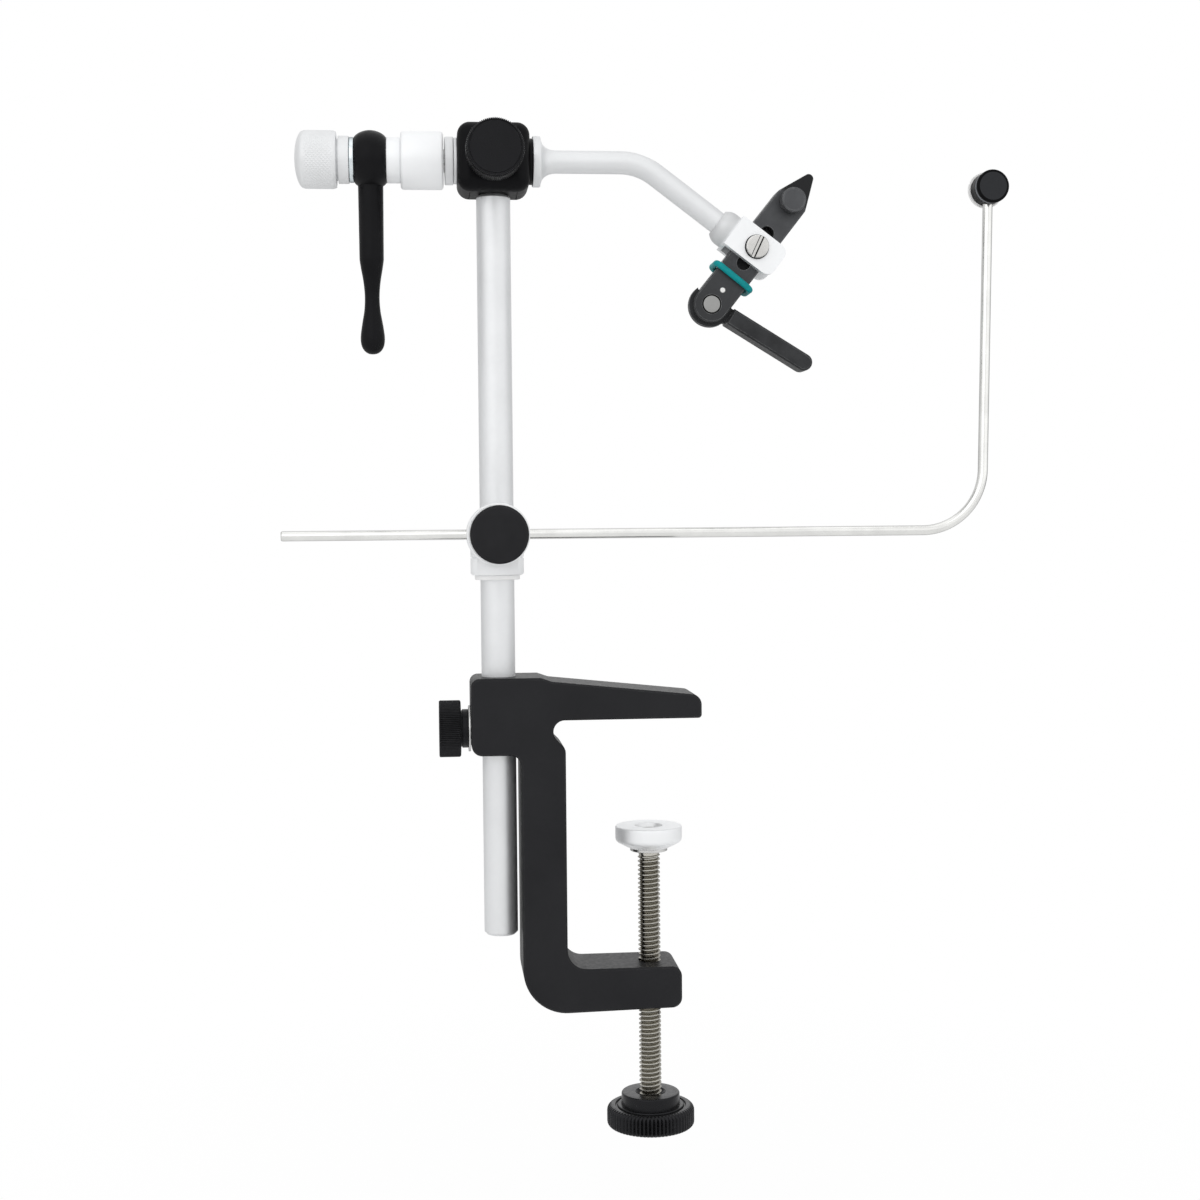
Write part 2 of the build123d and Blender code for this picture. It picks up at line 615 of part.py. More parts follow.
def end_knob():
    """End knob with a smooth hub on its right and a domed left end."""
    rim = -END_KNOB_LEFT + END_KNOB_DOME
    shelf = -END_KNOB_RIGHT - END_KNOB_EDGE
    dome = Spline((-END_KNOB_LEFT, 0), (rim, END_KNOB_R), tangents=[(0, 1), (1, 0)])
    sides = Polyline((rim, END_KNOB_R), (shelf, END_KNOB_R),
                     (-END_KNOB_RIGHT, END_KNOB_R - END_KNOB_EDGE), (-END_KNOB_RIGHT, END_HUB_R),
                     (-END_HUB_RIGHT, END_HUB_R), (-END_HUB_RIGHT, 0), (-END_KNOB_LEFT, 0))
    body = revolve(Plane.XZ * make_face(dome.edges() + sides.edges()), Axis.X)
    return HEAD * (body - rod_x(SPINDLE_R + RUN, -SPINDLE_LEFT - GAP, -END_HUB_RIGHT))


def brake():
    """Brake knob on the housing's front, with its screw and the shoe on the spindle."""
    front_wall = -HOUSING_DEEP / 2
    hub_start = BRAKE_KNOB_FRONT + BRAKE_KNOB_THICK
    at = HEAD * Pos(0, BRAKE_KNOB_FRONT, 0) * Rot(90, 0, 0)
    hub_long = front_wall - GAP - hub_start
    save("brake_knob", at * knob(BRAKE_KNOB_THICK, hub_long, KNOB_SCREW_SEAT))
    shoe_tip = -SPINDLE_R - RUN
    shoe_back = shoe_tip - BRAKE_SHOE_LONG
    save("brake_shoe", HEAD * rod_y(SHOE_R, shoe_back, shoe_tip))
    screw = rod_y(KNOB_SCREW_R, hub_start - KNOB_SCREW_SEAT, shoe_back - RUN)
    save("brake_screw", HEAD * screw)


def swing_arm():
    """Bent arm with a flared flange that takes the spindle's nose."""
    flare_start = ARM_FLANGE_LEFT + ARM_FLANGE_THICK
    flare = Spline((flare_start, ARM_FLANGE_R), (ARM_FLARE_END, ARM_R),
                   tangents=[(0, -1), (1, 0)])
    sides = Polyline((ARM_FLARE_END, ARM_R), (ARM_FLARE_END, 0), (ARM_FLANGE_LEFT, 0),
                     (ARM_FLANGE_LEFT, ARM_FLANGE_R), (flare_start, ARM_FLANGE_R))
    outline = make_face(flare.edges() + sides.edges())
    flange = revolve(Plane.XZ * outline, Axis.X)
    reach = ARM_TO_PIVOT - HOLDER_START + HOLDER_SOCKET
    drop = math.radians(ARM_DROP_ANGLE)
    end = (ARM_VERTEX + reach * math.cos(drop), 0, -reach * math.sin(drop))
    path = bent_path([(ARM_FLARE_END, 0, 0), (ARM_VERTEX, 0, 0), end], [ARM_BEND])
    socket = rod_x(SPINDLE_NOSE_R + SEAT, ARM_FLANGE_LEFT, ARM_FLANGE_LEFT + SPINDLE_NOSE + SEAT)
    return HEAD * (flange + bar_along(path, ARM_R) - socket)


def jaw_holder():
    """Collar on the arm's end with a fork for the jaws."""
    swell = Spline((HOLDER_START_R, HOLDER_START), (HOLDER_COLLAR_R, HOLDER_COLLAR),
                   tangents=[(1, -1), (0, -1)])
    sides = Polyline((HOLDER_COLLAR_R, HOLDER_COLLAR), (HOLDER_COLLAR_R, HOLDER_EAR - EAR_ROUND),
                     (0, HOLDER_EAR - EAR_ROUND), (0, HOLDER_START),
                     (HOLDER_START_R, HOLDER_START))
    collar = revolve(Plane.XZ * make_face(swell.edges() + sides.edges()), Axis.Z)
    ears = slab(-EAR_HALF, EAR_HALF, -EAR_OUTER, EAR_OUTER, -EAR_END, HOLDER_EAR)
    ends = ears.edges().filter_by(Axis.Y).group_by(Axis.Z)[0]
    ears = fillet(ends, EAR_ROUND)
    holder = collar + ears
    slot = JAW_HALF_THICK + 2 * RUN
    holder -= slab(-HOLDER_COLLAR_R, HOLDER_COLLAR_R, -slot, slot, -EAR_END, HOLDER_ROOT)
    holder -= rod_z(ARM_R + SEAT, HOLDER_START - HOLDER_SOCKET, HOLDER_START)
    return FORK * (holder - rod_y(PIVOT_R + RUN, -EAR_OUTER, EAR_OUTER))


def jaw_pivot_screw():
    """Slotted screw through the fork and both jaws."""
    seat = -EAR_OUTER - RUN
    head = rod_y(PIVOT_HEAD_R, seat - PIVOT_HEAD_THICK, seat)
    head = fillet(rims(head).sort_by(Axis.Y)[0], PIVOT_HEAD_ROUND)
    half = PIVOT_SLOT / 2
    top = seat - PIVOT_HEAD_THICK
    cut = slab(-PIVOT_HEAD_R, PIVOT_HEAD_R, top, top + PIVOT_SLOT_DEEP, -half, half)
    head -= Rot(0, -PIVOT_SLOT_ANGLE, 0) * cut
    return JAWS * (head + rod_y(PIVOT_R, seat, EAR_OUTER))


def jaw_plate():
    """Outline shared by both jaws, as a plate through the whole jaw thickness."""
    shoulders = Line((JAW_SHOULDER, -JAW_HALF_WIDE), (JAW_SHOULDER, JAW_HALF_WIDE))
    tip = Pos(JAW_TIP - JAW_TIP_R, 0) * Circle(JAW_TIP_R)
    tail = Pos(CAM_PIN_AT, 0) * Circle(JAW_TAIL_R)
    outline = make_hull(shoulders.edges() + tip.edges() + tail.edges())
    plate = extrude(Plane.XZ * outline, JAW_HALF_THICK, both=True)
    faces = plate.faces().sort_by(Axis.Y)
    plate = chamfer(faces[0].edges() + faces[-1].edges(), JAW_EDGE)
    side = make_face(Polyline((JAW_SHOULDER, -JAW_HALF_THICK), (JAW_TIP, -JAW_HALF_THICK),
                              (JAW_TIP, -JAW_TIP_THICK), close=True))
    wedge = extrude(side, JAW_HALF_WIDE, both=True)
    return plate - wedge - mirror(wedge, Plane.XZ)


def rocker(radius, half_long):
    """Round rib across the jaws under the thumbscrew, on which the rear jaw rocks."""
    return rod_z(radius, -half_long, half_long, THUMB_AT)


def front_jaw():
    """Front jaw with a pocket in its tail for the lever and a groove for the rear jaw's rocker."""
    long = JAW_TAIL_R - CAM_PIN_AT
    jaw = jaw_plate() - slab(-long, JAW_TIP, -JAW_FACE, JAW_HALF_THICK, -long, long)
    floor = -LEVER_HALF_DISC - RUN
    jaw -= slab(-long, TAIL_POCKET, floor, 0, -long, long)
    jaw -= rocker(ROCKER_R + RUN, JAW_HALF_WIDE + GAP)
    for at in (-JAW_SIDE_HOLE_AT, JAW_SIDE_HOLE_AT):
        jaw -= rod_y(JAW_SIDE_HOLE_R, -JAW_HALF_THICK, 0, at)
    jaw -= rod_y(PIVOT_R + RUN, -JAW_HALF_THICK, 0)
    jaw -= rod_y(THUMB_SCREW_R + RUN, -JAW_HALF_THICK, 0, THUMB_AT)
    jaw -= rod_y(CAM_PIN_R + SEAT, -JAW_HALF_THICK, 0, CAM_PIN_AT)
    rim = -JAW_HALF_THICK + CAM_PIN_RIM
    jaw -= rod_y(CAM_PIN_R + CAM_PIN_RIM, -JAW_HALF_THICK, rim, CAM_PIN_AT)
    return JAWS * (jaw - rod_y(STOP_PIN_R + SEAT, -JAW_HALF_THICK, 0, STOP_PIN_AT))


def rear_jaw():
    """Rear jaw with a rocker under the thumbscrew, relieved behind it so that its tail can close."""
    long = JAW_TAIL_R - CAM_PIN_AT
    jaw = jaw_plate() - slab(-long, JAW_TIP, -JAW_HALF_THICK, JAW_FACE, -long, long)
    jaw -= slab(-long, JAW_SEAT_START, 0, JAW_RELIEF, -long, long)
    jaw -= slab(-long, TAIL_POCKET, 0, REAR_POCKET_FLOOR, -long, long)
    jaw += rocker(ROCKER_R, JAW_HALF_WIDE - JAW_EDGE)
    jaw -= rod_y(PIVOT_R + REAR_HOLE_PLAY, 0, JAW_HALF_THICK)
    jaw -= rod_y(THUMB_SCREW_R + REAR_HOLE_PLAY, -ROCKER_R, JAW_HALF_THICK, THUMB_AT)
    return JAWS * (jaw - rod_y(CAM_PIN_R + REAR_HOLE_PLAY, 0, JAW_HALF_THICK, CAM_PIN_AT))


def jaw_thumbscrew():
    """Thumbscrew near the tips, the fulcrum of the rear jaw."""
    base = -JAW_HALF_THICK - GAP
    head = crisp(rod_y(THUMB_R, base - THUMB_TALL, base, THUMB_AT), THUMB_EDGE)
    return JAWS * (head + rod_y(THUMB_SCREW_R, base, THUMB_SCREW_END, THUMB_AT))


def jaw_ring():
    """Rubber ring round both jaws."""
    y = JAW_HALF_THICK + RING_R + RUN
    z = JAW_TAIL_R + RING_R + RUN
    loop = RectangleRounded(2 * y, 2 * z, RING_BEND).face().outer_wire()
    path = Plane.YZ * loop
    return JAWS * Pos(RING_AT, 0, 0) * bar_along(path, RING_R)


def cam_pin():
    """Pin on which the lever turns."""
    return JAWS * rod_y(CAM_PIN_R, -JAW_HALF_THICK - PIN_PROUD, JAW_HALF_THICK, CAM_PIN_AT)


def stop_pin():
    """Small pin that runs in the lever's curved slot."""
    return JAWS * rod_y(STOP_PIN_R, -JAW_HALF_THICK - PIN_PROUD, STOP_PIN_END, STOP_PIN_AT)


def cam_lever():
    """Lever: thin disc between the jaw tails and a thick bar outside them."""
    reach = STOP_PIN_AT - CAM_PIN_AT
    width = 2 * (STOP_PIN_R + 2 * RUN + STOP_SLOT_OPEN)
    disc = rod_y(LEVER_DISC_R, -LEVER_HALF_DISC, LEVER_HALF_DISC)
    disc -= rod_y(CAM_PIN_R + RUN, -LEVER_HALF_DISC, LEVER_HALF_DISC)
    slot = SlotArc(CenterArc((0, 0), reach + STOP_SLOT_OPEN, 0, LEVER_SWING_ANGLE), width)
    disc -= extrude(Plane.XZ * slot, LEVER_HALF_DISC, both=True)
    half = LEVER_WIDE / 2
    neck = slab(LEVER_DISC_R - half, LEVER_START + half, -LEVER_HALF_DISC, LEVER_HALF_DISC, -half, half)
    end = LEVER_LENGTH - half
    blade = Pos((LEVER_START + end) / 2, 0) * Rectangle(end - LEVER_START, LEVER_WIDE)
    blade += Pos(end, 0) * Circle(half)
    bar = extrude(Plane.XZ * blade, LEVER_HALF_BAR, both=True)
    faces = bar.faces().sort_by(Axis.Y)
    bar = chamfer(faces[0].edges() + faces[-1].edges(), LEVER_EDGE)
    turn = LEVER_ANGLE - JAW_RISE_ANGLE
    handle = Rot(0, -turn, 0) * (neck + bar)
    return JAWS * Pos(CAM_PIN_AT, 0, 0) * (disc + handle)


def clamp_group():
    """Frame, clamp screw, pad and stem lock."""
    save("c_clamp_frame", c_clamp_frame())
    save("clamp_pad", clamp_pad())
    save("clamp_pad_washer", clamp_pad_washer())
    save("clamp_screw", clamp_screw())
    save("clamp_screw_knob", clamp_screw_knob())
    stem_lock()


def stem_group():
    """Stem and bobbin rest."""
    save("stem", stem())
    save("cradle_bush", cradle_bush())
    save("cradle_collar", cradle_collar())
    cradle_lock()
    rod = cradle_rod()
    save("cradle_rod", rod)
    rod_button(rod)


def head_group():
    """Housing, spindle, brake, crank and arm."""
    bush = spindle_bush()
    save("rotary_housing", rotary_housing())
    save("stem_set_screw", stem_set_screw())
    save("spindle_bush_right", HEAD * bush)
    save("spindle_bush_left", HEAD * mirror(bush, Plane.YZ))
    save("spindle", spindle())
    save("thrust_ring", stack_ring(THRUST_R, THRUST_RIGHT, THRUST_LEFT))
    lock_barrel()
    save("crank_spacer", stack_ring(SPACER_R, BARREL_LEFT, CRANK_RIGHT))
    save("crank_handle", crank_handle())
    save("crank_washer", crank_washer())
    save("end_knob", end_knob())
    brake()
    save("swing_arm", swing_arm())


def jaw_group():
    """Fork, jaws and cam lever."""
    save("jaw_holder", jaw_holder())
    save("jaw_pivot_screw", jaw_pivot_screw())
    save("front_jaw", front_jaw())
    save("rear_jaw", rear_jaw())
    save("jaw_thumbscrew", jaw_thumbscrew())
    save("jaw_ring", jaw_ring())
    save("cam_pin", cam_pin())
    save("stop_pin", stop_pin())
    save("cam_lever", cam_lever())


os.makedirs("parts", exist_ok=True)
clamp_group()
stem_group()
head_group()
jaw_group()
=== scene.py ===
"""Fly tying vise: fine shapes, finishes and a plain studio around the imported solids.

The file is laid out as an add-on. Sizes and colours are properties, each group of pieces has
its own operator, and main() calls them in order. Mesh code works in millimetres.
"""
import json
import math

import bmesh
import bpy
from bpy.props import FloatProperty, FloatVectorProperty, IntProperty, PointerProperty
from bpy.types import NodeSocket, Operator, Panel, PropertyGroup
from mathutils import Matrix, Vector

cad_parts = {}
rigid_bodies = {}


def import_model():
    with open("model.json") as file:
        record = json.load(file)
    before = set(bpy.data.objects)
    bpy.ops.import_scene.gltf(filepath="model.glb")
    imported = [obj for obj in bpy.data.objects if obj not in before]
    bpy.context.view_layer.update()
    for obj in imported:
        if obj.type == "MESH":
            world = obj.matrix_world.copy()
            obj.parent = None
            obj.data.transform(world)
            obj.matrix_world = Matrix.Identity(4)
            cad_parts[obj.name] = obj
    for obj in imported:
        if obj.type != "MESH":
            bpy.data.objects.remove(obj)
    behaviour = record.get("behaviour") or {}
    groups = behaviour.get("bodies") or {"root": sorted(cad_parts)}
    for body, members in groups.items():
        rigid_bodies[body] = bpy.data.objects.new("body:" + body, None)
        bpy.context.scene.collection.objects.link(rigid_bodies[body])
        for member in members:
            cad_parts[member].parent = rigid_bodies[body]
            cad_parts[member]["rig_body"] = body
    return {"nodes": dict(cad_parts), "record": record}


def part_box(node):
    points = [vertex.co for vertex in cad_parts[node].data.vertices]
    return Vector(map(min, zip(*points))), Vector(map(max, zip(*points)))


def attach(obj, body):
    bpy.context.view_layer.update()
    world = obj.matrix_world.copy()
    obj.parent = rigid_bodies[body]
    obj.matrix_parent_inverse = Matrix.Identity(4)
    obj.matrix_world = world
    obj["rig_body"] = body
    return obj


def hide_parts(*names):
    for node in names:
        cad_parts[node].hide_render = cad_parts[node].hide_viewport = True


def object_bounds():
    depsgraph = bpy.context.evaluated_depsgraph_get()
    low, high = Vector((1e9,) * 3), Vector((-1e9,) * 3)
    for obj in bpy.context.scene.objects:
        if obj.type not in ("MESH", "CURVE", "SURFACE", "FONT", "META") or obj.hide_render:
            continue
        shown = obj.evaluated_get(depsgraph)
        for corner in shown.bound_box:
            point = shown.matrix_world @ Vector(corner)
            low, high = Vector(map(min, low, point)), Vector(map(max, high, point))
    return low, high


bl_info = {
    "name": "Fly tying vise",
    "version": (1, 0, 0),
    "blender": (4, 5, 0),
    "location": "3D View > Sidebar > Vise",
    "description": "Ribs, threads, finishes and a plain studio for the solids of a fly tying vise",
    "category": "Object",
}

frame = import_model()
CAD_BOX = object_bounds()
SLOT_OF = {p["node"]: p["material_slot"] for p in frame["record"]["subparts"]}
COLOUR_OF = {m["slot"]: m["base_color"] for m in frame["record"]["materials"]}

# A millimetre in metres, and the direction away from the viewer
MM = 0.001
IN_MM = Matrix.Scale(MM, 4)
AWAY = Vector((0, 1, 0))

# Angles in degrees: an edge that turns by more is drawn sharp, or is broken
SHARP = 35
BROKEN = 28

# Radii in mm: those of more than one piece, and one that counts as a point
BAR_R = 3.175
SPINDLE_BORE = 3.2
NECK_BORE = 2.42
POINT = 1e-6

COOL_SHINE = (0.92, 0.93, 1.0, 1)


def number(name, description, default, least=12):
    """A count of faces, ribs or diamonds."""
    return IntProperty(name=name, description=description, default=default, min=least)


def length(name, description, default):
    """A length property, given in millimetres."""
    return FloatProperty(name=name, description=description, default=default * MM,
                         min=0, subtype="DISTANCE", unit="LENGTH", precision=5)


def angle(name, description, degrees):
    """An angle property, given in degrees."""
    return FloatProperty(name=name, description=description, default=math.radians(degrees),
                         subtype="ANGLE", unit="ROTATION")


def roughness(name, description, default):
    """A roughness property, from 0 to 1."""
    return FloatProperty(name=name, description=description, default=default,
                         min=0, max=1, subtype="FACTOR")


def colour(name, description, slot):
    """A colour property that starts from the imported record's slot."""
    return FloatVectorProperty(name=name, description=description, subtype="COLOR", size=3,
                               min=0, max=1, default=COLOUR_OF[slot][:3])


class VISE_PG_sizes(PropertyGroup):
    """Sizes of the fine shapes that the solids leave out."""

    steps: number("Round steps", "Faces round a plain turned piece", 96, 24)
    thread_pitch: length("Thread pitch", "Rise of the clamp screw's thread in one turn", 1.27)
    thread_depth: length("Thread depth", "Depth of the clamp screw's thread", 0.66)
    clamp_ribs: number("Clamp knob ribs", "Ribs round the clamp knob", 68)
    clamp_rib_depth: length("Clamp rib depth", "Depth between the clamp knob's ribs", 0.5)
    knob_ribs: number("Small knob ribs", "Ribs round each small knob", 92)
    knob_rib_depth: length("Small rib depth", "Depth between a small knob's ribs", 0.3)
    thumb_ribs: number("Thumbscrew ribs", "Ribs round the thumbscrew", 44)
    thumb_rib_depth: length("Thumbscrew rib depth", "Depth between the thumbscrew's ribs", 0.2)
    knurl_round: number("Knurl diamonds", "Diamonds round the end knob", 46)
    knurl_depth: length("Knurl depth", "Height of a diamond on the end knob", 0.14)
    ring_thick: length("Rubber ring radius", "Radius of the rubber ring's own section", 0.88)
    edge_break: length("Edge break", "Rounding of the machined edges", 0.18)
    arm_bend: length("Arm bend", "Radius of the bend in the arm", 17.0)
    arm_drop: angle("Arm drop", "Angle of the arm below its spindle", 37)
    jaw_angle: angle("Jaw angle", "Angle between the arm and the jaws", 88.5)
    rod_bend: length("Rod bend", "Radius of the bend in the bobbin rest's rod", 17.5)
    rod_lean: angle("Rod lean", "Lean of the rod's upright end", 1.0)
    floor_gap: length("Floor gap", "Room below for the clamp screw at its lowest", 34.0)


class VISE_PG_finishes(PropertyGroup):
    """Colours and roughness of the finishes."""

    coat: colour("Black coat", "Coat of the clamp frame and the housing", "black_coat")
    aluminium: colour("Aluminium", "Clear anodised aluminium", "satin_aluminium")
    steel: colour("Steel", "Bright drawn steel", "stainless")
    oxide: colour("Black oxide", "Jaws, lever and thumbscrew", "black_oxide")
    grip: colour("Black plastic", "Knobs and crank", "black_plastic")
    nylon: colour("White plastic", "Bush, washer and shoes", "white_plastic")
    rubber: colour("Rubber", "Ring round the jaws", "teal_rubber")
    coat_rough: roughness("Coat roughness", "Roughness of the black coat", 0.46)
    aluminium_rough: roughness("Aluminium roughness", "Roughness of the aluminium", 0.5)
    steel_rough: roughness("Steel roughness", "Roughness of the steel", 0.24)


def sizes():
    """The sizes in use."""
    return bpy.context.scene.vise_sizes


def finishes():
    """The colours and roughness in use."""
    return bpy.context.scene.vise_finishes


# Places read from the frame
def extent(node):
    """Low and high corner of a solid's box, in mm."""
    return [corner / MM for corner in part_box(node)]


def axle(node, axis, flip=False):
    """Where a turned solid lies: matrix from its own Z in mm, its length and its radius."""
    low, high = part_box(node)
    along = "XYZ".index(axis)
    z = Vector((0, 0, 0))
    z[along] = -1 if flip else 1
    x = Vector((0, 0, 0))
    x[(along + 1) % 3] = 1
    start = (low + high) / 2
    start[along] = high[along] if flip else low[along]
    turn = Matrix((x, z.cross(x), z)).transposed().to_4x4()
    size = (high - low) / MM
    radius = max(size[(along + 1) % 3], size[(along + 2) % 3]) / 2
    return Matrix.Translation(start) @ turn @ IN_MM, size[along], radius


def pivot_place():
    """Middle of the screw on which the jaws tilt, in metres."""
    low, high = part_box("jaw_pivot_screw")
    return (low + high) / 2


def jaw_way():
    """Direction from the pivot to the jaws' tips."""
    rise = sizes().jaw_angle - sizes().arm_drop
    return Vector((math.cos(rise), 0, math.sin(rise)))


# Lines
def softened(corners, steps=6):
    """Turn (point, rounding) pairs into a line whose inner corners are arcs."""
    points = [Vector(p) for p, _ in corners]
    line = [points[0]]
    for (_, rounding), before, corner, after in zip(corners[1:], points, points[1:], points[2:]):
        if rounding <= 0:
            line.append(corner)
            continue
        back = (before - corner).normalized()
        ahead = (after - corner).normalized()
        half = back.angle(ahead) / 2
        centre = corner + (back + ahead).normalized() * (rounding / math.sin(half))
        reach = rounding / math.tan(half)
        start = corner + back * reach - centre
        end = corner + ahead * reach - centre
        sweep = math.pi - 2 * half
        for i in range(steps + 1):
            share = i / steps
            line.append(centre + (start * math.sin((1 - share) * sweep)
                                  + end * math.sin(share * sweep)) / math.sin(sweep))
    line.append(points[-1])
    return line


def lathe_line(corners, steps=6):
    """Profile of a turned piece from (along, radius) corners, some with a rounding."""
    rounded = [(*corner, 0)[:3] for corner in corners]
    return softened([((along, radius), rounding) for along, radius, rounding in rounded], steps)


def smooth_line(points, parts):
    """More points on a smooth line through the given ones."""
    last = len(points) - 1
    for i in range(last):
        p0, p1, p2, p3 = (Vector(points[min(max(k, 0), last)]) for k in range(i - 1, i + 3))
        for k in range(parts):
            t = k / parts
            yield tuple(0.5 * (2 * p1 + (p2 - p0) * t + (2 * p0 - 5 * p1 + 4 * p2 - p3) * t ** 2
                               + (3 * p1 - p0 - 3 * p2 + p3) * t ** 3))
    yield tuple(points[-1])


# Meshes
def stitched(shape, rings, closed=False):
    """Fill the faces between rings of vertices, where a ring of one vertex is a point."""
    pairs = list(zip(rings, rings[1:]))
    if closed:
        pairs.append((rings[-1], rings[0]))
    for low, high in pairs:
        count = max(len(low), len(high))
        for i in range(count):
            j = (i + 1) % count
            face = [low[i % len(low)], low[j % len(low)], high[j % len(high)], high[i % len(high)]]
            face = list(dict.fromkeys(face))
            if len(face) > 2:
                shape.faces.new(face)


def smoothed(mesh, sharp):
    """Shade a mesh smooth, apart from edges over the sharp angle."""
    mesh.shade_smooth()
    mesh.set_sharp_from_angle(angle=math.radians(sharp))


def settled(name, shape, place, sharp=SHARP):
    """Make an object from a mesh in hand, with its faces outwards."""
    bmesh.ops.recalc_face_normals(shape, faces=shape.faces)
    mesh = bpy.data.meshes.new(name)
    shape.to_mesh(mesh)
    shape.free()
    mesh.transform(place)
    smoothed(mesh, sharp)
    made = bpy.data.objects.new(name, mesh)
    bpy.context.scene.collection.objects.link(made)
    return made


def circle(steps):
    """Cosine and sine of equal steps round a circle."""
    for i in range(steps):
        turn = 2 * math.pi * i / steps
        yield math.cos(turn), math.sin(turn)


def hoop(shape, along, radius, steps, cut=None):
    """Ring of vertices about Z at one height, or one vertex where it shrinks to a point."""
    if radius < POINT:
        return [shape.verts.new((0, 0, along))]
    made = []
    for i, (x, y) in enumerate(circle(steps)):
        reach = radius - (cut(i, along, radius) if cut else 0)
        made.append(shape.verts.new((reach * x, reach * y, along)))
    return made


def revolved(shape, profile, steps, cut=None):
    """Add a body of revolution about Z; cut(step, along, radius) lowers ribs into it."""
    rings = [hoop(shape, along, radius, steps, cut) for along, radius in profile]
    stitched(shape, rings, closed=len(rings[0]) > 1 and len(rings[-1]) > 1)


def turned(name, corners, place, steps=None, cut=None):
    """A lathe-turned piece from the corners of its profile."""
    shape = bmesh.new()
    revolved(shape, lathe_line(corners), steps or sizes().steps, cut)
    return settled(name, shape, place)


def ribs(count, depth, inner, outer, per_rib=6, end=math.inf):
    """Cut for straight ribs that fade in between two radii, and the steps they need."""
    def cut(i, along, radius):
        if along >= end:
            return 0
        fade = min(1, max(0, (radius - inner) / (outer - inner)))
        wave = 0.5 - 0.5 * math.cos(2 * math.pi * i / per_rib)
        return depth * fade * wave ** 1.5
    return cut, count * per_rib


def threaded(shape, radius, pitch, depth, low, high):
    """Add a screw thread about Z between two heights, and note how deep each vertex lies."""
    # The depth mark tells the finish where to paint shade into the thread's roots
    groove = shape.verts.layers.float.new("groove")
    steps = 36
    tooth = ((0.0, 1), (0.18, 1), (0.52, 0), (0.68, 0))
    ahead = len(tooth)
    turns = int((high - low) / pitch) - 1
    rows = []
    for row in range(turns * ahead + 1):
        offset, deep = tooth[row % ahead]
        base = low + pitch * (row // ahead + offset)
        reach = radius - depth * deep
        line = []
        for i, (x, y) in enumerate(circle(steps)):
            line.append(shape.verts.new((reach * x, reach * y, base + pitch * i / steps)))
            line[-1][groove] = deep
        rows.append(line)
    for r, (line, above) in enumerate(zip(rows, rows[1:])):
        for i in range(steps - 1):
            shape.faces.new((line[i], line[i + 1], above[i + 1], above[i]))
        if r + ahead + 1 < len(rows):
            shape.faces.new((line[-1], rows[r + ahead][0], rows[r + ahead + 1][0], above[-1]))
    for loop, z in ((rows[0] + [row[0] for row in rows[ahead:0:-1]], low),
                    (rows[-1][::-1] + [row[-1] for row in rows[-1 - ahead:-1]], high)):
        middle = shape.verts.new((0, 0, z))
        for a, b in zip(loop, loop[1:] + loop[:1]):
            shape.faces.new((a, b, middle))


def swept(name, spine, radii, across, steps=40, closed=False):
    """A round bar along a flat line of points, with a radius at each point."""
    shape = bmesh.new()
    rings = []
    count = len(spine)
    for i, (point, radius) in enumerate(zip(spine, radii)):
        before = spine[i - 1] if closed or i else point
        after = spine[(i + 1) % count] if closed or i < count - 1 else point
        side = (after - before).normalized().cross(across)
        rings.append([shape.verts.new(point + (across * x + side * y) * radius)
                      for x, y in circle(steps)])
    if not closed:
        rings.insert(0, [shape.verts.new(spine[0])])
        rings.append([shape.verts.new(spine[-1])])
    stitched(shape, rings, closed)
    return settled(name, shape, IN_MM)


def joined(first, second, operation="UNION"):
    """One closed piece from two that overlap: both together, or the first less the second."""
    boolean = first.modifiers.new("Join", "BOOLEAN")
    boolean.operation = operation
    boolean.object = second
    boolean.solver = "EXACT"
    view = bpy.context.evaluated_depsgraph_get()
    mesh = bpy.data.meshes.new_from_object(first.evaluated_get(view))
    first.modifiers.clear()
    first.data = mesh
    bpy.data.objects.remove(second)
    smoothed(mesh, SHARP)
    return first


def marked(piece, place, mark):
    """Mark faces for painted shade in a groove or a painted highlight line, by height, radius and
    tilt to the piece's axis.
    """
    groove = piece.data.attributes.new("groove", "FLOAT", "FACE")
    back = place.inverted()
    axis = place.col[2].to_3d().normalized()
    for entry, face in zip(groove.data, piece.data.polygons):
        point = back @ face.center
        tilt = abs(face.normal.dot(axis))
        entry.value = mark(point.z, math.hypot(point.x, point.y), tilt)


# Pieces in the frame
def painted(piece, finish):
    """Give a piece one finish."""
    piece.data.materials.clear()
    piece.data.materials.append(finish)


def stand_for(piece, node, finish):
    """Show a piece in place of a solid, moving with the solid's body."""
    painted(piece, finish)
    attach(piece, frame["nodes"][node]["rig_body"])
    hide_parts(node)


def dress(node, finish, edge=0.0):
    """Keep a solid as it is, with a finish and softly broken edges."""
    solid = frame["nodes"][node]
    painted(solid, finish)
    weld = solid.modifiers.new("Join seams", "WELD")
    weld.merge_threshold = 0.001 * MM
    if edge > 0:
        bevel = solid.modifiers.new("Broken edges", "BEVEL")
        bevel.width = edge * MM
        bevel.segments = 3
        bevel.limit_method = "ANGLE"
        bevel.angle_limit = math.radians(BROKEN)


def ring(node, axis, finish, bore, edge=0.3):
    """A plain turned ring in place of a solid."""
    place, long, radius = axle(node, axis)
    corners = [(0, bore), (0, radius, edge), (long, radius, edge), (long, bore)]
    stand_for(turned(node + "_turned", corners, place), node, finish)


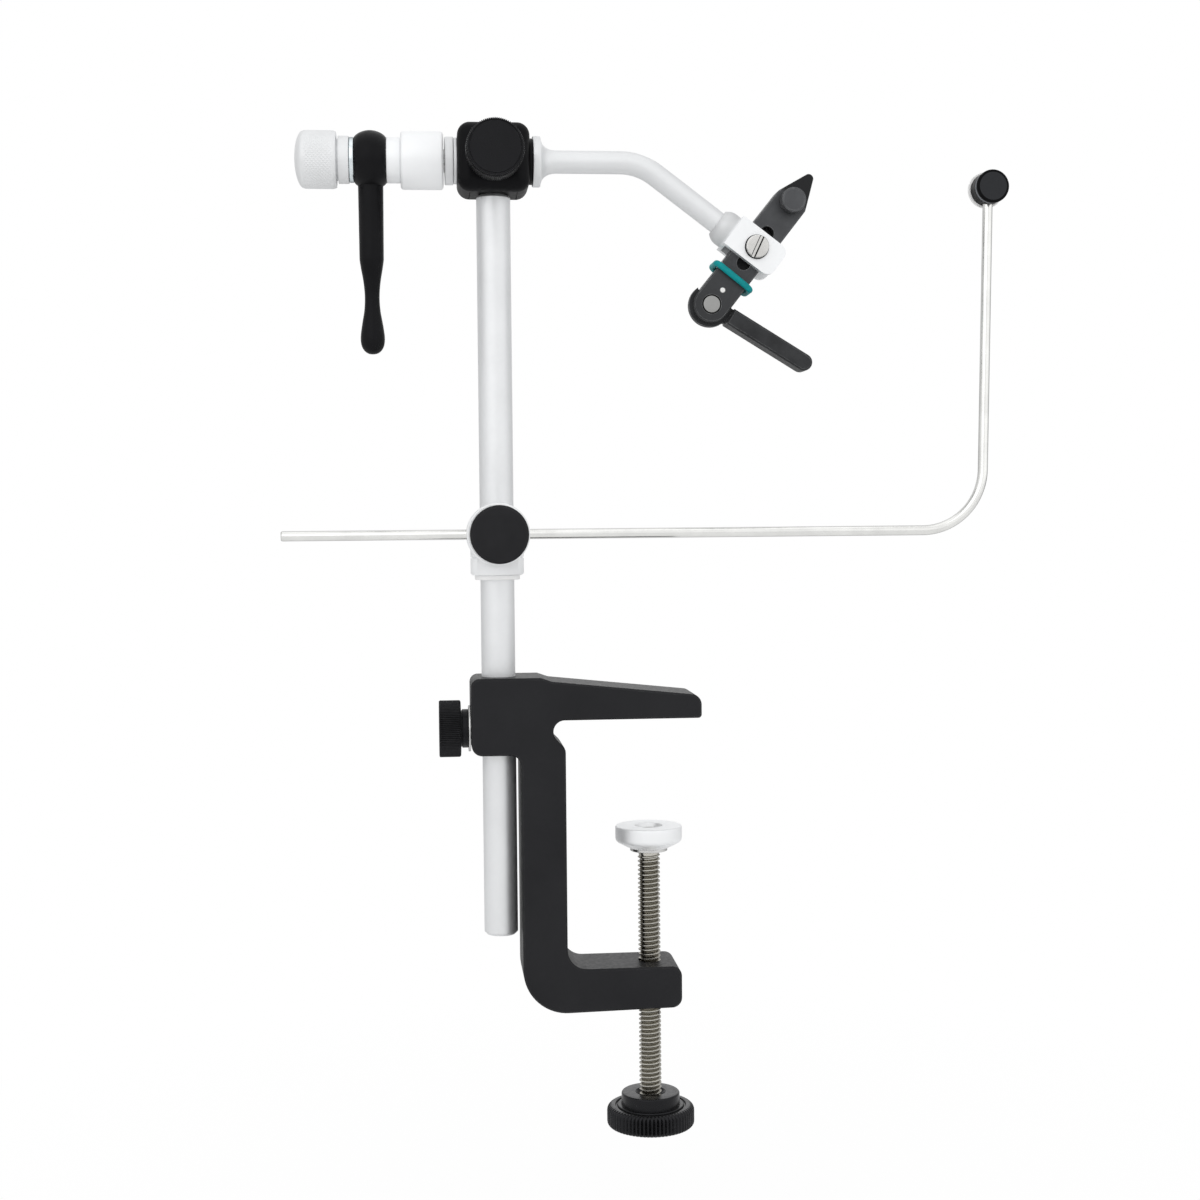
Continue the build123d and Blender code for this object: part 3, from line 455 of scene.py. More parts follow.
# Finishes
class Nodes:
    """Short hand for adding to a tree of shader nodes."""

    def __init__(self, tree):
        self.tree = tree

    def set(self, node, values):
        """Set or link a node's inputs."""
        for key, value in values.items():
            if isinstance(value, NodeSocket):
                self.tree.links.new(value, node.inputs[key])
            else:
                node.inputs[key].default_value = value

    def add(self, kind, values=None, **options):
        """Add a node with its options and inputs."""
        node = self.tree.nodes.new(kind)
        for key, value in options.items():
            setattr(node, key, value)
        self.set(node, values or {})
        return node

    def speckle(self, scale, detail=3, stretch=(1, 1, 1)):
        """Noise in the piece's own place, so many spots to the metre."""
        place = self.add("ShaderNodeTexCoord").outputs["Object"]
        if stretch != (1, 1, 1):
            place = self.add("ShaderNodeMapping", {"Vector": place, "Scale": stretch}).outputs[0]
        noise = self.add("ShaderNodeTexNoise", {"Vector": place, "Scale": scale, "Detail": detail})
        return noise.outputs["Fac"]

    def ranged(self, value, low, high, start=0.3, end=0.7):
        """Stretch a value between two limits."""
        node = self.add("ShaderNodeMapRange", {"Value": value, "From Min": start, "From Max": end,
                                               "To Min": low, "To Max": high})
        return node.outputs[0]

    def times(self, first, second):
        """Product of two values."""
        return self.add("ShaderNodeMath", {0: first, 1: second}, operation="MULTIPLY").outputs[0]

    def larger(self, first, second):
        """Larger of two values."""
        return self.add("ShaderNodeMath", {0: first, 1: second}, operation="MAXIMUM").outputs[0]

    def blended(self, share, first, second):
        """Colour between two colours, by a share."""
        values = {"Factor": share}
        for key, value in ((6, first), (7, second)):
            values[key] = value if isinstance(value, NodeSocket) else (*value, 1)
        return self.add("ShaderNodeMix", values, data_type="RGBA").outputs[2]

    def edges(self, radius):
        """1 on the edges and 0 on flat or gently curved faces."""
        worn = self.add("ShaderNodeBevel", {"Radius": radius * MM}, samples=6).outputs[0]
        plain = self.add("ShaderNodeNewGeometry").outputs["Normal"]
        match = self.add("ShaderNodeVectorMath", {0: worn, 1: plain}, operation="DOT_PRODUCT")
        return self.ranged(match.outputs["Value"], 1, 0, 0.86, 0.99)

    def along(self, start, way):
        """How far a point lies from a place, in one direction, in metres."""
        place = self.add("ShaderNodeTexCoord").outputs["Object"]
        step = self.add("ShaderNodeVectorMath", {0: place, 1: start}, operation="SUBTRACT")
        far = self.add("ShaderNodeVectorMath", {0: step.outputs[0], 1: way},
                       operation="DOT_PRODUCT")
        return far.outputs["Value"]

    def groove(self):
        """What the mesh code marked for painted shade or a painted highlight: 1 at the bottom of a
        groove or on a line.
        """
        return self.add("ShaderNodeAttribute", attribute_name="groove").outputs["Fac"]


class Finish(Nodes):
    """A new material with its shader, tint and roughness."""

    def __init__(self, name, tint, rough, metallic=0.0):
        self.material = bpy.data.materials.new(name)
        self.material.use_nodes = True
        super().__init__(self.material.node_tree)
        self.shader = self.tree.nodes["Principled BSDF"]
        self.tint = Vector(tint)
        self.rough = rough
        self.set(self.shader, {"Base Color": (*tint, 1), "Roughness": rough,
                               "Metallic": metallic})

    def cloudy(self, noise, dark, pale):
        """The tint in clouds between two shares of it."""
        return self.blended(self.ranged(noise, 0, 1), self.tint * dark, self.tint * pale)

    def patchy(self, noise, less, more):
        """The roughness in patches, a little less and a little more."""
        return self.ranged(noise, self.rough - less, self.rough + more)

    def bump(self, height, strength, distance):
        """Fine relief in mm, added to any relief that is there."""
        values = {"Height": height, "Strength": strength, "Distance": distance * MM}
        old = self.shader.inputs["Normal"].links
        if old:
            values["Normal"] = old[0].from_socket
        self.set(self.shader, {"Normal": self.add("ShaderNodeBump", values).outputs[0]})


def kept(maker):
    """Make each finish once and hand the same one out again."""
    made = {}

    def finish(*choice, **named):
        key = (choice, *named.items())
        if key not in made:
            made[key] = maker(*choice, **named)
        return made[key]
    return finish


@kept
def black_coat(shade=1.0):
    """Satin coat with a fine texture, rubbed a little paler on its edges."""
    n = Finish("satin_black_coat_%d" % (100 * shade), finishes().coat, finishes().coat_rough)
    tone = n.cloudy(n.speckle(60, 4), 0.2 * shade, 0.34 * shade)
    worn = n.times(n.edges(0.5), n.ranged(n.speckle(420, 4), 0, 0.5, 0.45, 0.7))
    n.set(n.shader, {
        "Base Color": n.blended(worn, tone, (0.07, 0.07, 0.072)),
        "Roughness": n.patchy(n.speckle(900), 0.05, 0.06),
        "Specular IOR Level": 0.27 * shade,
        "Specular Tint": COOL_SHINE})
    n.bump(n.speckle(2600, 2), 0.10, 0.05)
    return n.material


@kept
def aluminium(grain="Z", lift=1.0, metal=0.85):
    """Clear anodised aluminium with faint marks left by turning or drawing."""
    n = Finish("satin_aluminium_%s_%d_%d" % (grain.lower(), 100 * lift, 100 * metal),
               Vector(finishes().aluminium) * lift, finishes().aluminium_rough, metal)
    stretch = {"X": (1, 0.01, 0.01), "Z": (0.01, 0.01, 1), "drawn": (1, 1, 0.02)}[grain]
    n.set(n.shader, {
        "Base Color": n.cloudy(n.speckle(75, 4), 0.97, 1.02),
        "Roughness": n.patchy(n.speckle(700), 0.04, 0.05)})
    n.bump(n.speckle(5200, 2, stretch), 0.10, 0.02)
    n.bump(n.speckle(3500, 2), 0.08, 0.02)
    return n.material


@kept
def fork_aluminium():
    """Aluminium of the fork, with painted shade making the round collar greyer than the flat cheeks.
    """
    material = aluminium("X", 1.1, 0.7).copy()
    material.name = "fork_aluminium"
    n = Nodes(material.node_tree)
    shader = n.tree.nodes["Principled BSDF"]
    drop = sizes().arm_drop
    far = n.along(pivot_place(), Vector((-math.cos(drop), 0, math.sin(drop))))
    # Painted shade: the round collar, which turns from the light, is painted greyer than the cheeks
    collar = n.ranged(far, 0, 1, 7.9 * MM, 8.6 * MM)
    cheek_tone = shader.inputs["Base Color"].links[0].from_socket
    painted_collar_shade = Vector(finishes().aluminium) * 0.8
    n.set(shader, {"Base Color": n.blended(collar, cheek_tone, painted_collar_shade)})
    return material


@kept
def steel(grain="X", tint=(1, 1, 1), grime_and_shade=(0.006, 0.006, 0.006), more_rough=0.0):
    """Bright steel, plain or drawn along X, with painted shade at the bottom of a thread or slot and
    on marked rings.
    """
    n = Finish("drawn_steel_%s_%d" % (grain.lower(), 100 * tint[0]),
               Vector(finishes().steel) * Vector(tint), finishes().steel_rough + more_rough, 1.0)
    stretch, relief = {"X": ((0.02, 1, 1), 0.06), "plain": ((1, 1, 1), 0.02)}[grain]
    streak = n.speckle(2400, 3, stretch)
    tone = n.cloudy(n.speckle(160, 4), 0.92, 1.05)
    # Painted shade: faces that the mesh code marked take the dark groove colour
    n.set(n.shader, {
        "Base Color": n.blended(n.groove(), tone, grime_and_shade),
        "Specular Tint": (0.45, 0.45, 0.46, 1),
        "Roughness": n.patchy(streak, 0.05, 0.07)})
    n.bump(streak, relief, 0.02)
    return n.material


@kept
def black_oxide(shade=0.9, painted_shade_by_length=False):
    """Oiled black oxide on steel, bare on the edges; on the jaws, painted darker towards the tail,
    with painted shade on the tapered tip.
    """
    n = Finish("black_oxide_steel_%d%s" % (100 * shade, "_jaw" if painted_shade_by_length else ""),
               finishes().oxide, 0.44, 0.55)
    tone = n.cloudy(n.speckle(220, 4), shade - 0.12, shade + 0.12)
    # Painted shade: darker towards the tail, and darkest on the tapered tip, where the face turns
    # from the light
    if painted_shade_by_length:
        far = n.along(pivot_place(), jaw_way())
        tail = n.ranged(far, 1, 0, -22 * MM, 4 * MM)
        painted_tip_shade = n.ranged(far, 0, 1, 17.2 * MM, 18.6 * MM)
        tone = n.blended(tail, tone, n.tint * 0.6)
        tone = n.blended(painted_tip_shade, tone, n.tint * 0.25)
    worn = n.times(n.edges(0.3), n.ranged(n.speckle(700, 4), 0.15, 0.9, 0.35, 0.65))
    n.set(n.shader, {
        "Base Color": n.blended(worn, tone, (0.34, 0.345, 0.35)),
        "Roughness": n.patchy(n.speckle(1300), 0.06, 0.1),
        "Specular IOR Level": 0.25})
    n.bump(n.speckle(3200, 2), 0.10, 0.03)
    return n.material


@kept
def black_plastic(gloss=0.11, shade=0.2, rough=0.39, line=0.0):
    """Satin black with a fine moulded grain, and a painted highlight where the mesh marks one."""
    n = Finish("satin_black_plastic_%d_%d" % (100 * gloss, 100 * shade), finishes().grip, rough)
    tone = n.cloudy(n.speckle(130), shade * 0.8, shade * 1.2)
    # Painted highlight: marked faces blend toward a pale bluish grey
    if line:
        tone = n.blended(n.groove(), tone, (line * 0.94, line * 0.98, line * 1.06))
    worn = n.times(n.edges(0.25), n.ranged(n.speckle(600), 0, 0.35, 0.4, 0.7))
    n.set(n.shader, {
        "Base Color": n.blended(worn, tone, (0.06, 0.06, 0.063)),
        "Roughness": n.patchy(n.speckle(800), 0.07, 0.07),
        "Specular IOR Level": gloss,
        "Specular Tint": COOL_SHINE})
    n.bump(n.speckle(2800, 2), 0.10, 0.04)
    return n.material


@kept
def white_plastic():
    """Natural white plastic with a slight sheen."""
    n = Finish("natural_white_plastic", finishes().nylon, 0.42)
    n.set(n.shader, {
        "Base Color": n.cloudy(n.speckle(150), 0.95, 1),
        "Roughness": n.patchy(n.speckle(900, 2), 0.06, 0.08)})
    n.bump(n.speckle(2500, 2), 0.06, 0.03)
    return n.material


@kept
def rubber():
    """Smooth coloured rubber with a faint bloom."""
    n = Finish("teal_rubber", finishes().rubber, 0.4)
    n.set(n.shader, {
        "Base Color": n.cloudy(n.speckle(420, 4), 0.6, 0.82),
        "Roughness": n.patchy(n.speckle(1600), 0, 0.16),
        "Specular IOR Level": 0.2})
    n.bump(n.speckle(3000), 0.12, 0.04)
    return n.material


FINISH_OF = {"black_coat": black_coat, "satin_aluminium": aluminium, "stainless": steel,
             "black_oxide": black_oxide, "black_plastic": black_plastic,
             "white_plastic": white_plastic, "teal_rubber": rubber}


class VISE_OT_clamp_frame(Operator):
    """Finish the C-shaped clamp frame"""

    bl_idname = "vise.clamp_frame"
    bl_label = "Clamp frame"

    def execute(self, context):
        dress("c_clamp_frame", black_coat(), 0.25)
        return {"FINISHED"}


class VISE_OT_clamp_screw(Operator):
    """Make the threaded clamp screw, its swivel pad and the washer under it"""

    bl_idname = "vise.clamp_screw"
    bl_label = "Clamp screw and pad"

    def screw(self):
        """Threaded bar with a plain collar, a neck and a small head."""
        place, long, _ = axle("clamp_screw", "Z")
        thread_start = 5.0
        shoulder = long - 6.15
        collar = 2.9
        neck = 2.4
        head = long - 0.9
        shape = bmesh.new()
        threaded(shape, BAR_R, sizes().thread_pitch / MM, sizes().thread_depth / MM,
                 thread_start, shoulder - 0.6)
        corners = [(shoulder - 3.0, 0), (shoulder - 3.0, neck), (shoulder - 1.0, collar, 0.2),
                   (shoulder, collar, 0.2), (shoulder, neck), (head, neck), (head, 3.3, 0.1),
                   (long, 3.1, 0.1), (long, 0)]
        revolved(shape, lathe_line(corners), 48)
        # The thread's roots are painted dark brown: painted shade in the recess, tinted like oily
        # grime
        finish = steel("plain", (0.9, 0.88, 0.82), (0.2, 0.185, 0.15))
        stand_for(settled("clamp_screw_thread", shape, place, 50), "clamp_screw", finish)

    def pad(self):
        """Round pad with a dished hole in its top."""
        place, top, radius = axle("clamp_pad", "Z")
        bore = 2.45
        dish = top - 2.0
        corners = [(0, bore), (0, 5.6, 0.3), (top - 4.3, radius, 1.5), (top, radius, 0.5),
                   (top, 4.05, 0.2), (dish, 3.35), (dish, bore)]
        stand_for(turned("clamp_pad_turned", corners, place), "clamp_pad", aluminium("Z", 1.12, 0.6))

    def execute(self, context):
        self.screw()
        self.pad()
        ring("clamp_pad_washer", "Z", steel("plain"), NECK_BORE, 0.15)
        return {"FINISHED"}


class VISE_OT_clamp_knob(Operator):
    """Make the ribbed clamp knob with its hub and groove"""

    bl_idname = "vise.clamp_knob"
    bl_label = "Clamp knob"

    def execute(self, context):
        place, tall, radius = axle("clamp_screw_knob", "Z")
        rim = 1.6
        shelf = tall - 3.7
        groove = shelf - 0.5
        raised = shelf + 0.15
        hub = 8.35
        recess = tall - 1.1
        corners = [(0, 0), (0, radius, 1.3), (shelf, radius, rim), (shelf, 10.2, 0.25),
                   (groove, 10.0, 0.1), (groove, 9.6, 0.1), (raised, 9.45, 0.3), (raised, 8.5, 0.1),
                   (shelf, hub, 0.05), (tall, hub, 0.5), (tall, 4.4, 0.1), (recess, 3.3),
                   (recess, 0)]
        cut, steps = ribs(sizes().clamp_ribs, sizes().clamp_rib_depth / MM, radius - rim, radius, 8)
        knob = turned("clamp_knob_ribbed", corners, place, steps, cut)
        stand_for(knob, "clamp_screw_knob", black_plastic(0.28, 0.1, 0.28))
        return {"FINISHED"}


class VISE_OT_stem(Operator):
    """Make the upright stem"""

    bl_idname = "vise.stem"
    bl_label = "Stem"

    def execute(self, context):
        place, tall, radius = axle("stem", "Z")
        top = tall - 4.0
        spigot = 3.17
        bevel = 0.8
        corners = [(0, 0), (0, radius - bevel, 0.15), (bevel, radius, 0.3),
                   (top - bevel, radius, 0.3), (top, radius - bevel), (top, spigot),
                   (tall, spigot, 0.2), (tall, 0)]
        stand_for(turned("stem_bar", corners, place), "stem", aluminium("drawn"))
        return {"FINISHED"}


class VISE_OT_small_knobs(Operator):
    """Make the stem lock knob, the bobbin rest's knob and the brake knob"""

    bl_idname = "vise.small_knobs"
    bl_label = "Small knobs"

    def plain_face(self, long, radius):
        """Flat end with a rounded rim."""
        return [(long, radius, 0.4), (long, 0)]

    def bevelled_face(self, long, radius):
        """Flat end with a bevelled rim."""
        bevel = 0.75
        return [(long - bevel, radius, 0.12), (long, radius - bevel, 0.15), (long, 0)]

    def ringed_face(self, long, radius):
        """Stepped rim, a groove inside it and fine turning marks to the middle."""
        rim = radius - 0.45
        groove = long - 0.3
        face = long - 0.05
        mark_wide = 0.14
        mark_deep = 0.012
        corners = [(long - 0.85, radius, 0.1), (long - 0.7, rim, 0.05), (long, rim, 0.15),
                   (long, rim - 0.3, 0.05), (groove, rim - 0.4), (groove, rim - 0.6),
                   (face, rim - 0.7)]
        for i in range(int((rim - 1.0) / mark_wide)):
            corners.append((face - mark_deep * (i % 2), rim - 0.8 - mark_wide * i))
        return corners + [(face, 0)]

    def execute(self, context):
        depth = sizes().knob_rib_depth / MM
        hub = 5.45
        neck = 5.15
        for node, axis, body, fade, plain_rim, face, finish in (
                ("stem_lock_knob", "X", 6.1, 0.6, 0, self.plain_face, black_plastic(0.2, 0.3)),
                ("cradle_knob", "Y", 6.4, 0.05, 0.9, self.bevelled_face, black_plastic(0.14, 0.5)),
                ("brake_knob", "Y", 6.9, 0.4, 0, self.ringed_face, black_plastic(0.2, 0.12, 0.3))):
            place, long, radius = axle(node, axis, True)
            back = long - body
            corners = [(0, 0), (0, hub, 0.25), (back - 0.4, hub, 0.1), (back - 0.4, neck),
                       (back - 0.2, neck), (back, neck, 0.1), (back, radius, 0.5),
                       *face(long, radius)]
            end = long - plain_rim if plain_rim else math.inf
            cut, steps = ribs(sizes().knob_ribs, depth, radius - fade, radius, end=end)
            stand_for(turned(node + "_ribbed", corners, place, steps, cut), node, finish)
        ring("stem_lock_washer", "X", steel("plain"), NECK_BORE, 0.1)
        return {"FINISHED"}


class VISE_OT_bobbin_rest(Operator):
    """Make the bobbin rest: collar, bush, bent rod, button and washer"""

    bl_idname = "vise.bobbin_rest"
    bl_label = "Bobbin rest"

    def bush(self):
        """Flanged bush inside the collar."""
        place, long, radius = axle("cradle_bush", "Z")
        flange = 1.25
        outer = 5.6
        bore = 4.8
        corners = [(0, bore), (0, radius, 0.25), (flange, radius, 0.15), (flange, outer),
                   (long, outer), (long, bore)]
        stand_for(turned("cradle_bush_turned", corners, place), "cradle_bush", white_plastic())

    def rod(self):
        """Polished rod with a blunt nose, bent upwards at its far end."""
        low, high = extent("cradle_rod")
        radius = (high.y - low.y) / 2
        y = (low.y + high.y) / 2
        z = low.z + radius
        lean = (high.z - z) * math.tan(sizes().rod_lean)
        foot = high.x - radius - lean
        spine = softened([((low.x, y, z), 0), ((foot, y, z), sizes().rod_bend / MM),
                          ((foot + lean, y, high.z), 0)], 28)
        nose = Vector((0.35, 0, 0))
        spine.insert(1, spine[0] + nose)
        radii = [radius - 0.3] + [radius] * (len(spine) - 1)
        rod = swept("cradle_rod_bent", spine, radii, AWAY)
        stand_for(rod, "cradle_rod", steel("X", (1.28, 1.28, 1.27), more_rough=-0.08))

    def button(self):
        """Black button with a painted highlight line on its back bevel, and its face painted paler
        as lit.
        """
        place, long, radius = axle("rod_button", "Y", True)
        stud = 1.2
        back = 4.55
        corners = [(0, 0), (0, stud), (0.7, stud), (0.7, back, 0.35), (long - 2.25, back),
                   (long - 1.8, 4.1), (long - 1.3, 4.0), (long - 0.95, radius, 0.1),
                   (long, radius, 0.5), (long, radius - 0.75, 0.2), (long - 0.35, 0)]
        button = turned("rod_button_turned", corners, place)

        # Painted light: a highlight line on the back bevel, and a face paler than the shaded sides
        def pale(at, reach, tilt):
            if at > long - 0.6:
                return 0.14 if reach < radius - 0.9 else 0
            return 0.55 < tilt < 0.85 and long - 2.3 < at < long - 1.75

        marked(button, place, pale)
        stand_for(button, "rod_button", black_plastic(0.06, 0.12, line=0.2))

    def execute(self, context):
        dress("cradle_collar", aluminium("Z", 1.13, 0.2))
        self.bush()
        self.rod()
        self.button()
        ring("rod_button_washer", "Y", white_plastic(), 1.22, 0.15)
        return {"FINISHED"}


class VISE_OT_head(Operator):
    """Finish the rotary housing and the spindle, and make the two bushes"""

    bl_idname = "vise.head"
    bl_label = "Rotary housing"

    def execute(self, context):
        # The housing's coat is a darker copy of the frame's, painted shade for the dim light under
        # and round the head
        dress("rotary_housing", black_coat(0.4))
        dress("spindle", steel("X"))
        seat = 4.7
        for node, finish in (("spindle_bush_right", black_plastic()),
                             ("spindle_bush_left", aluminium("X", 0.98, 0.5))):
            place, long, radius = axle(node, "X", node.endswith("left"))
            lip = long - 0.95
            corners = [(0, SPINDLE_BORE), (0, seat, 0.2), (lip, seat), (lip, radius, 0.2),
                       (long, radius, 0.3), (long, SPINDLE_BORE)]
            stand_for(turned(node + "_turned", corners, place), node, finish)
        return {"FINISHED"}


class VISE_OT_spindle_stack(Operator):
    """Make the rings, the barrel and the knurled end knob on the spindle"""

    bl_idname = "vise.spindle_stack"
    bl_label = "Spindle stack"

    def knurled(self, shape, radius, depth, start, end, count):
        """Add rows of diamonds about Z between two heights; gives the first and last ring."""
        steps = 2 * count
        rows = 2 * round((end - start) / (2 * math.pi * radius / count)) + 1
        rings = []
        for row in range(rows):
            along = start + (end - start) * row / (rows - 1)
            flat = row in (0, rows - 1)
            rings.append(hoop(shape, along, radius, steps,
                              lambda i, *_: depth if flat or (i + row) % 2 else 0))
        for row, (low, high) in enumerate(zip(rings, rings[1:])):
            for i in range(steps):
                j = (i + 1) % steps
                if (i + row) % 2:
                    shape.faces.new((low[i], low[j], high[j]))
                    shape.faces.new((low[i], high[j], high[i]))
                else:
                    shape.faces.new((low[i], low[j], high[i]))
                    shape.faces.new((low[j], high[j], high[i]))
        return rings[0], rings[-1]

    def end_knob(self, finish):
        """Knob with a hub, a neck, a knurled band and a domed end."""
        place, long, radius = axle("end_knob", "X", True)
        count = sizes().knurl_round
        depth = sizes().knurl_depth / MM
        body = long - 11.5
        land = 0.55
        hub = 6.5
        neck = 5.7
        dome = 2.6
        dome_rings = 10
        shape = bmesh.new()
        first, last = self.knurled(shape, radius, depth, body + land, long - dome, count)
        corners = [(0, 0), (0, hub, 0.25), (body - land, hub, 0.1), (body - land, neck),
                   (body, neck), (body, radius - 0.35)]
        inner = [hoop(shape, along, reach, 2 * count) for along, reach in lathe_line(corners, 8)]
        stitched(shape, inner + [first])
        outer = [last]
        for i in range(1, dome_rings + 1):
            rise = i / dome_rings * math.pi / 2
            outer.append(hoop(shape, long - dome + dome * math.sin(rise),
                              (radius - depth) * math.cos(rise), 2 * count))
        stitched(shape, outer)
        stand_for(settled("end_knob_knurled", shape, place, 30), "end_knob", finish)

    def execute(self, context):
        metal = aluminium("X", 0.97, 0.35)
        bright = aluminium("X", 1.13, 0.3)
        ring("thrust_ring", "X", metal, SPINDLE_BORE)
        ring("lock_barrel", "X", bright, SPINDLE_BORE, 0.9)
        ring("crank_spacer", "X", bright, SPINDLE_BORE)
        ring("crank_washer", "X", steel("plain", (1.2, 1.3, 1.36)), SPINDLE_BORE + 0.03)
        self.end_knob(metal)
        return {"FINISHED"}


class VISE_OT_crank(Operator):
    """Make the crank: a crowned hub and a turned grip with a bulb at its end"""

    bl_idname = "vise.crank"
    bl_label = "Crank"

    def execute(self, context):
        low, high = extent("crank_handle")
        centre = (low + high) / 2
        centre.z = sum(corner.z for corner in extent("spindle")) / 2
        half = (high.x - low.x) / 2
        cheek = 6.2
        hub = [(-half, SPINDLE_BORE), (-half, cheek)]
        for i in range(-10, 11):
            share = i / 10
            hub.append((share * (half - 0.1), 8.1 - 1.5 * share ** 2 - 0.25 * share ** 8))
        hub += [(half, cheek), (half, SPINDLE_BORE)]
        shape = bmesh.new()
        revolved(shape, hub, 96)
        across = Matrix.Translation(centre) @ Matrix.Rotation(math.pi / 2, 4, "Y")
        crank = settled("crank_hub", shape, IN_MM @ across)
        straight = [(6.2, 0), (6.2, 3.5), (27.0, 3.36)]
        waist = ((27.5, 3.35), (30.0, 2.98), (33.0, 2.45), (36.0, 2.12), (38.6, 2.05),
                 (41.5, 2.24), (44.5, 2.75), (47.5, 3.22), (49.6, 3.35), (51.4, 3.05),
                 (52.7, 2.25), (53.4, 1.2), (53.6, 0))
        shape = bmesh.new()
        revolved(shape, straight + list(smooth_line(waist, 4)), 64)
        down = Matrix.Translation(centre) @ Matrix.Rotation(math.pi, 4, "X")
        grip = settled("crank_grip", shape, IN_MM @ down)
        stand_for(joined(crank, grip), "crank_handle", black_plastic())
        return {"FINISHED"}


class VISE_OT_swing_arm(Operator):
    """Make the bent arm with its flared flange, and finish the fork at its end"""

    bl_idname = "vise.swing_arm"
    bl_label = "Bent arm and fork"

    def execute(self, context):
        size = sizes()
        low, high = extent("swing_arm")
        flange = 7.0
        neck = 6.5
        left = low.x
        vertex = left + 30.3
        slope = 31.0
        y = (low.y + high.y) / 2
        z = high.z - flange
        flare = [(0.0, 6.75), (0.12, 6.95), (0.3, flange), (2.0, flange), (2.15, 6.92),
                 (2.25, 6.6), (2.4, 5.9), (2.7, 5.1), (3.2, 4.4), (3.9, 3.85), (4.8, 3.45),
                 (5.7, 3.24), (neck, BAR_R)]
        drop = size.arm_drop
        end = (vertex + slope * math.cos(drop), y, z - slope * math.sin(drop))
        bend = softened([((left + neck, y, z), 0), ((vertex, y, z), size.arm_bend / MM),
                         (end, 0)], 28)
        spine = [Vector((left + x, y, z)) for x, _ in flare] + bend[1:]
        radii = [r for _, r in flare] + [BAR_R] * (len(bend) - 1)
        arm = swept("swing_arm_bent", spine, radii, AWAY, 64)
        stand_for(arm, "swing_arm", aluminium("X", 0.97))
        # The fork's finish paints shade on its round collar
        dress("jaw_holder", fork_aluminium(), size.edge_break / MM * 1.6)
        return {"FINISHED"}


class VISE_OT_jaws(Operator):
    """Finish the jaws and the cam lever, and make their screws and pins"""

    bl_idname = "vise.jaws"
    bl_label = "Jaws and lever"

    def pivot_screw(self):
        """Slotted screw with a thin dark ring under its head as painted shadow, and painted shade in
        its slot.
        """
        place, long, _ = axle("jaw_pivot_screw", "Y", True)
        shank = 2.0
        head = 3.2
        # A thin ring under the head, painted dark, stands for the shadow in the gap round it
        line = head + 0.22
        seat = long - 1.6
        corners = [(0, 0), (0, shank, 0.2), (seat, shank), (seat, line), (seat + 0.15, line),
                   (seat + 0.15, head), (long, head, 0.35), (long, 0)]
        screw = turned("jaw_pivot_screw_turned", corners, place, 96)
        slot_long = 8
        slot_floor = 0.7
        slot_mouth = 1.9
        slot_tall = 1.8
        shape = bmesh.new()
        bmesh.ops.create_cube(shape, size=1)
        for vertex in shape.verts:
            vertex.co.x *= slot_long
            vertex.co.y *= slot_floor if vertex.co.z < 0 else slot_mouth
            vertex.co.z *= slot_tall
        way = jaw_way()
        turn = Matrix.Rotation(math.atan2(-way.x, way.z) + math.radians(13.5), 4, "Z")
        slot = settled("slot", shape, place @ Matrix.Translation((0, 0, long)) @ turn)
        joined(screw, slot, "DIFFERENCE")
        # Painted shade: mark the ring under the head and the slot's walls to be painted dark
        marked(screw, place, lambda at, reach, tilt: reach > head + 0.1
               or (reach < 2.6 and at > seat + 0.5 and tilt < 0.95))
        stand_for(screw, "jaw_pivot_screw", steel("plain", (0.98, 0.97, 0.96)))

    def thumbscrew(self):
        """Ribbed screw with a shallow dish in its end."""
        place, long, radius = axle("jaw_thumbscrew", "Y", True)
        shank = 1.45
        base = long - 3.8
        dish = long - 0.12
        corners = [(0, 0), (0, shank, 0.2), (base, shank), (base, radius, 0.35),
                   (long, radius, 0.3), (long, radius - 0.45, 0.05), (dish, radius - 0.6),
                   (dish, 0)]
        cut, steps = ribs(sizes().thumb_ribs, sizes().thumb_rib_depth / MM, radius - 0.4, radius)
        thumb = turned("jaw_thumbscrew_ribbed", corners, place, steps, cut)
        stand_for(thumb, "jaw_thumbscrew", black_oxide(1.2))

    def pin(self, node, bright):
        """Steel pin with a thin ring round its end, painted dark as the shadow in the gap round it.
        """
        place, long, radius = axle(node, "Y", True)
        foot = long - 0.3
        top = foot + 0.05
        # A thin ring at the foot, painted dark, stands for the shadow in the gap round the pin
        line = radius + 0.3
        corners = [(0, 0), (0, radius, 0.1), (foot, radius), (foot, line), (top, line),
                   (top, radius), (long, radius, 0.18), (long, 0)]
        pin = turned(node + "_turned", corners, place, 64)
        # Painted shadow: mark the ring's faces to be painted dark
        marked(pin, place, lambda at, reach, tilt: reach > radius + 0.1)
        stand_for(pin, node, steel("plain", (bright, bright, bright), more_rough=0.12))

    def execute(self, context):
        edge = sizes().edge_break / MM * 0.8
        # The front jaw is painted darker towards its tail, with painted shade on its tapered tip
        dress("front_jaw", black_oxide(1.05, True), edge)
        dress("rear_jaw", black_oxide(0.9), edge)
        dress("cam_lever", black_oxide(0.5), edge)
        self.pivot_screw()
        self.thumbscrew()
        self.pin("cam_pin", 0.5)
        self.pin("stop_pin", 1.25)
        return {"FINISHED"}


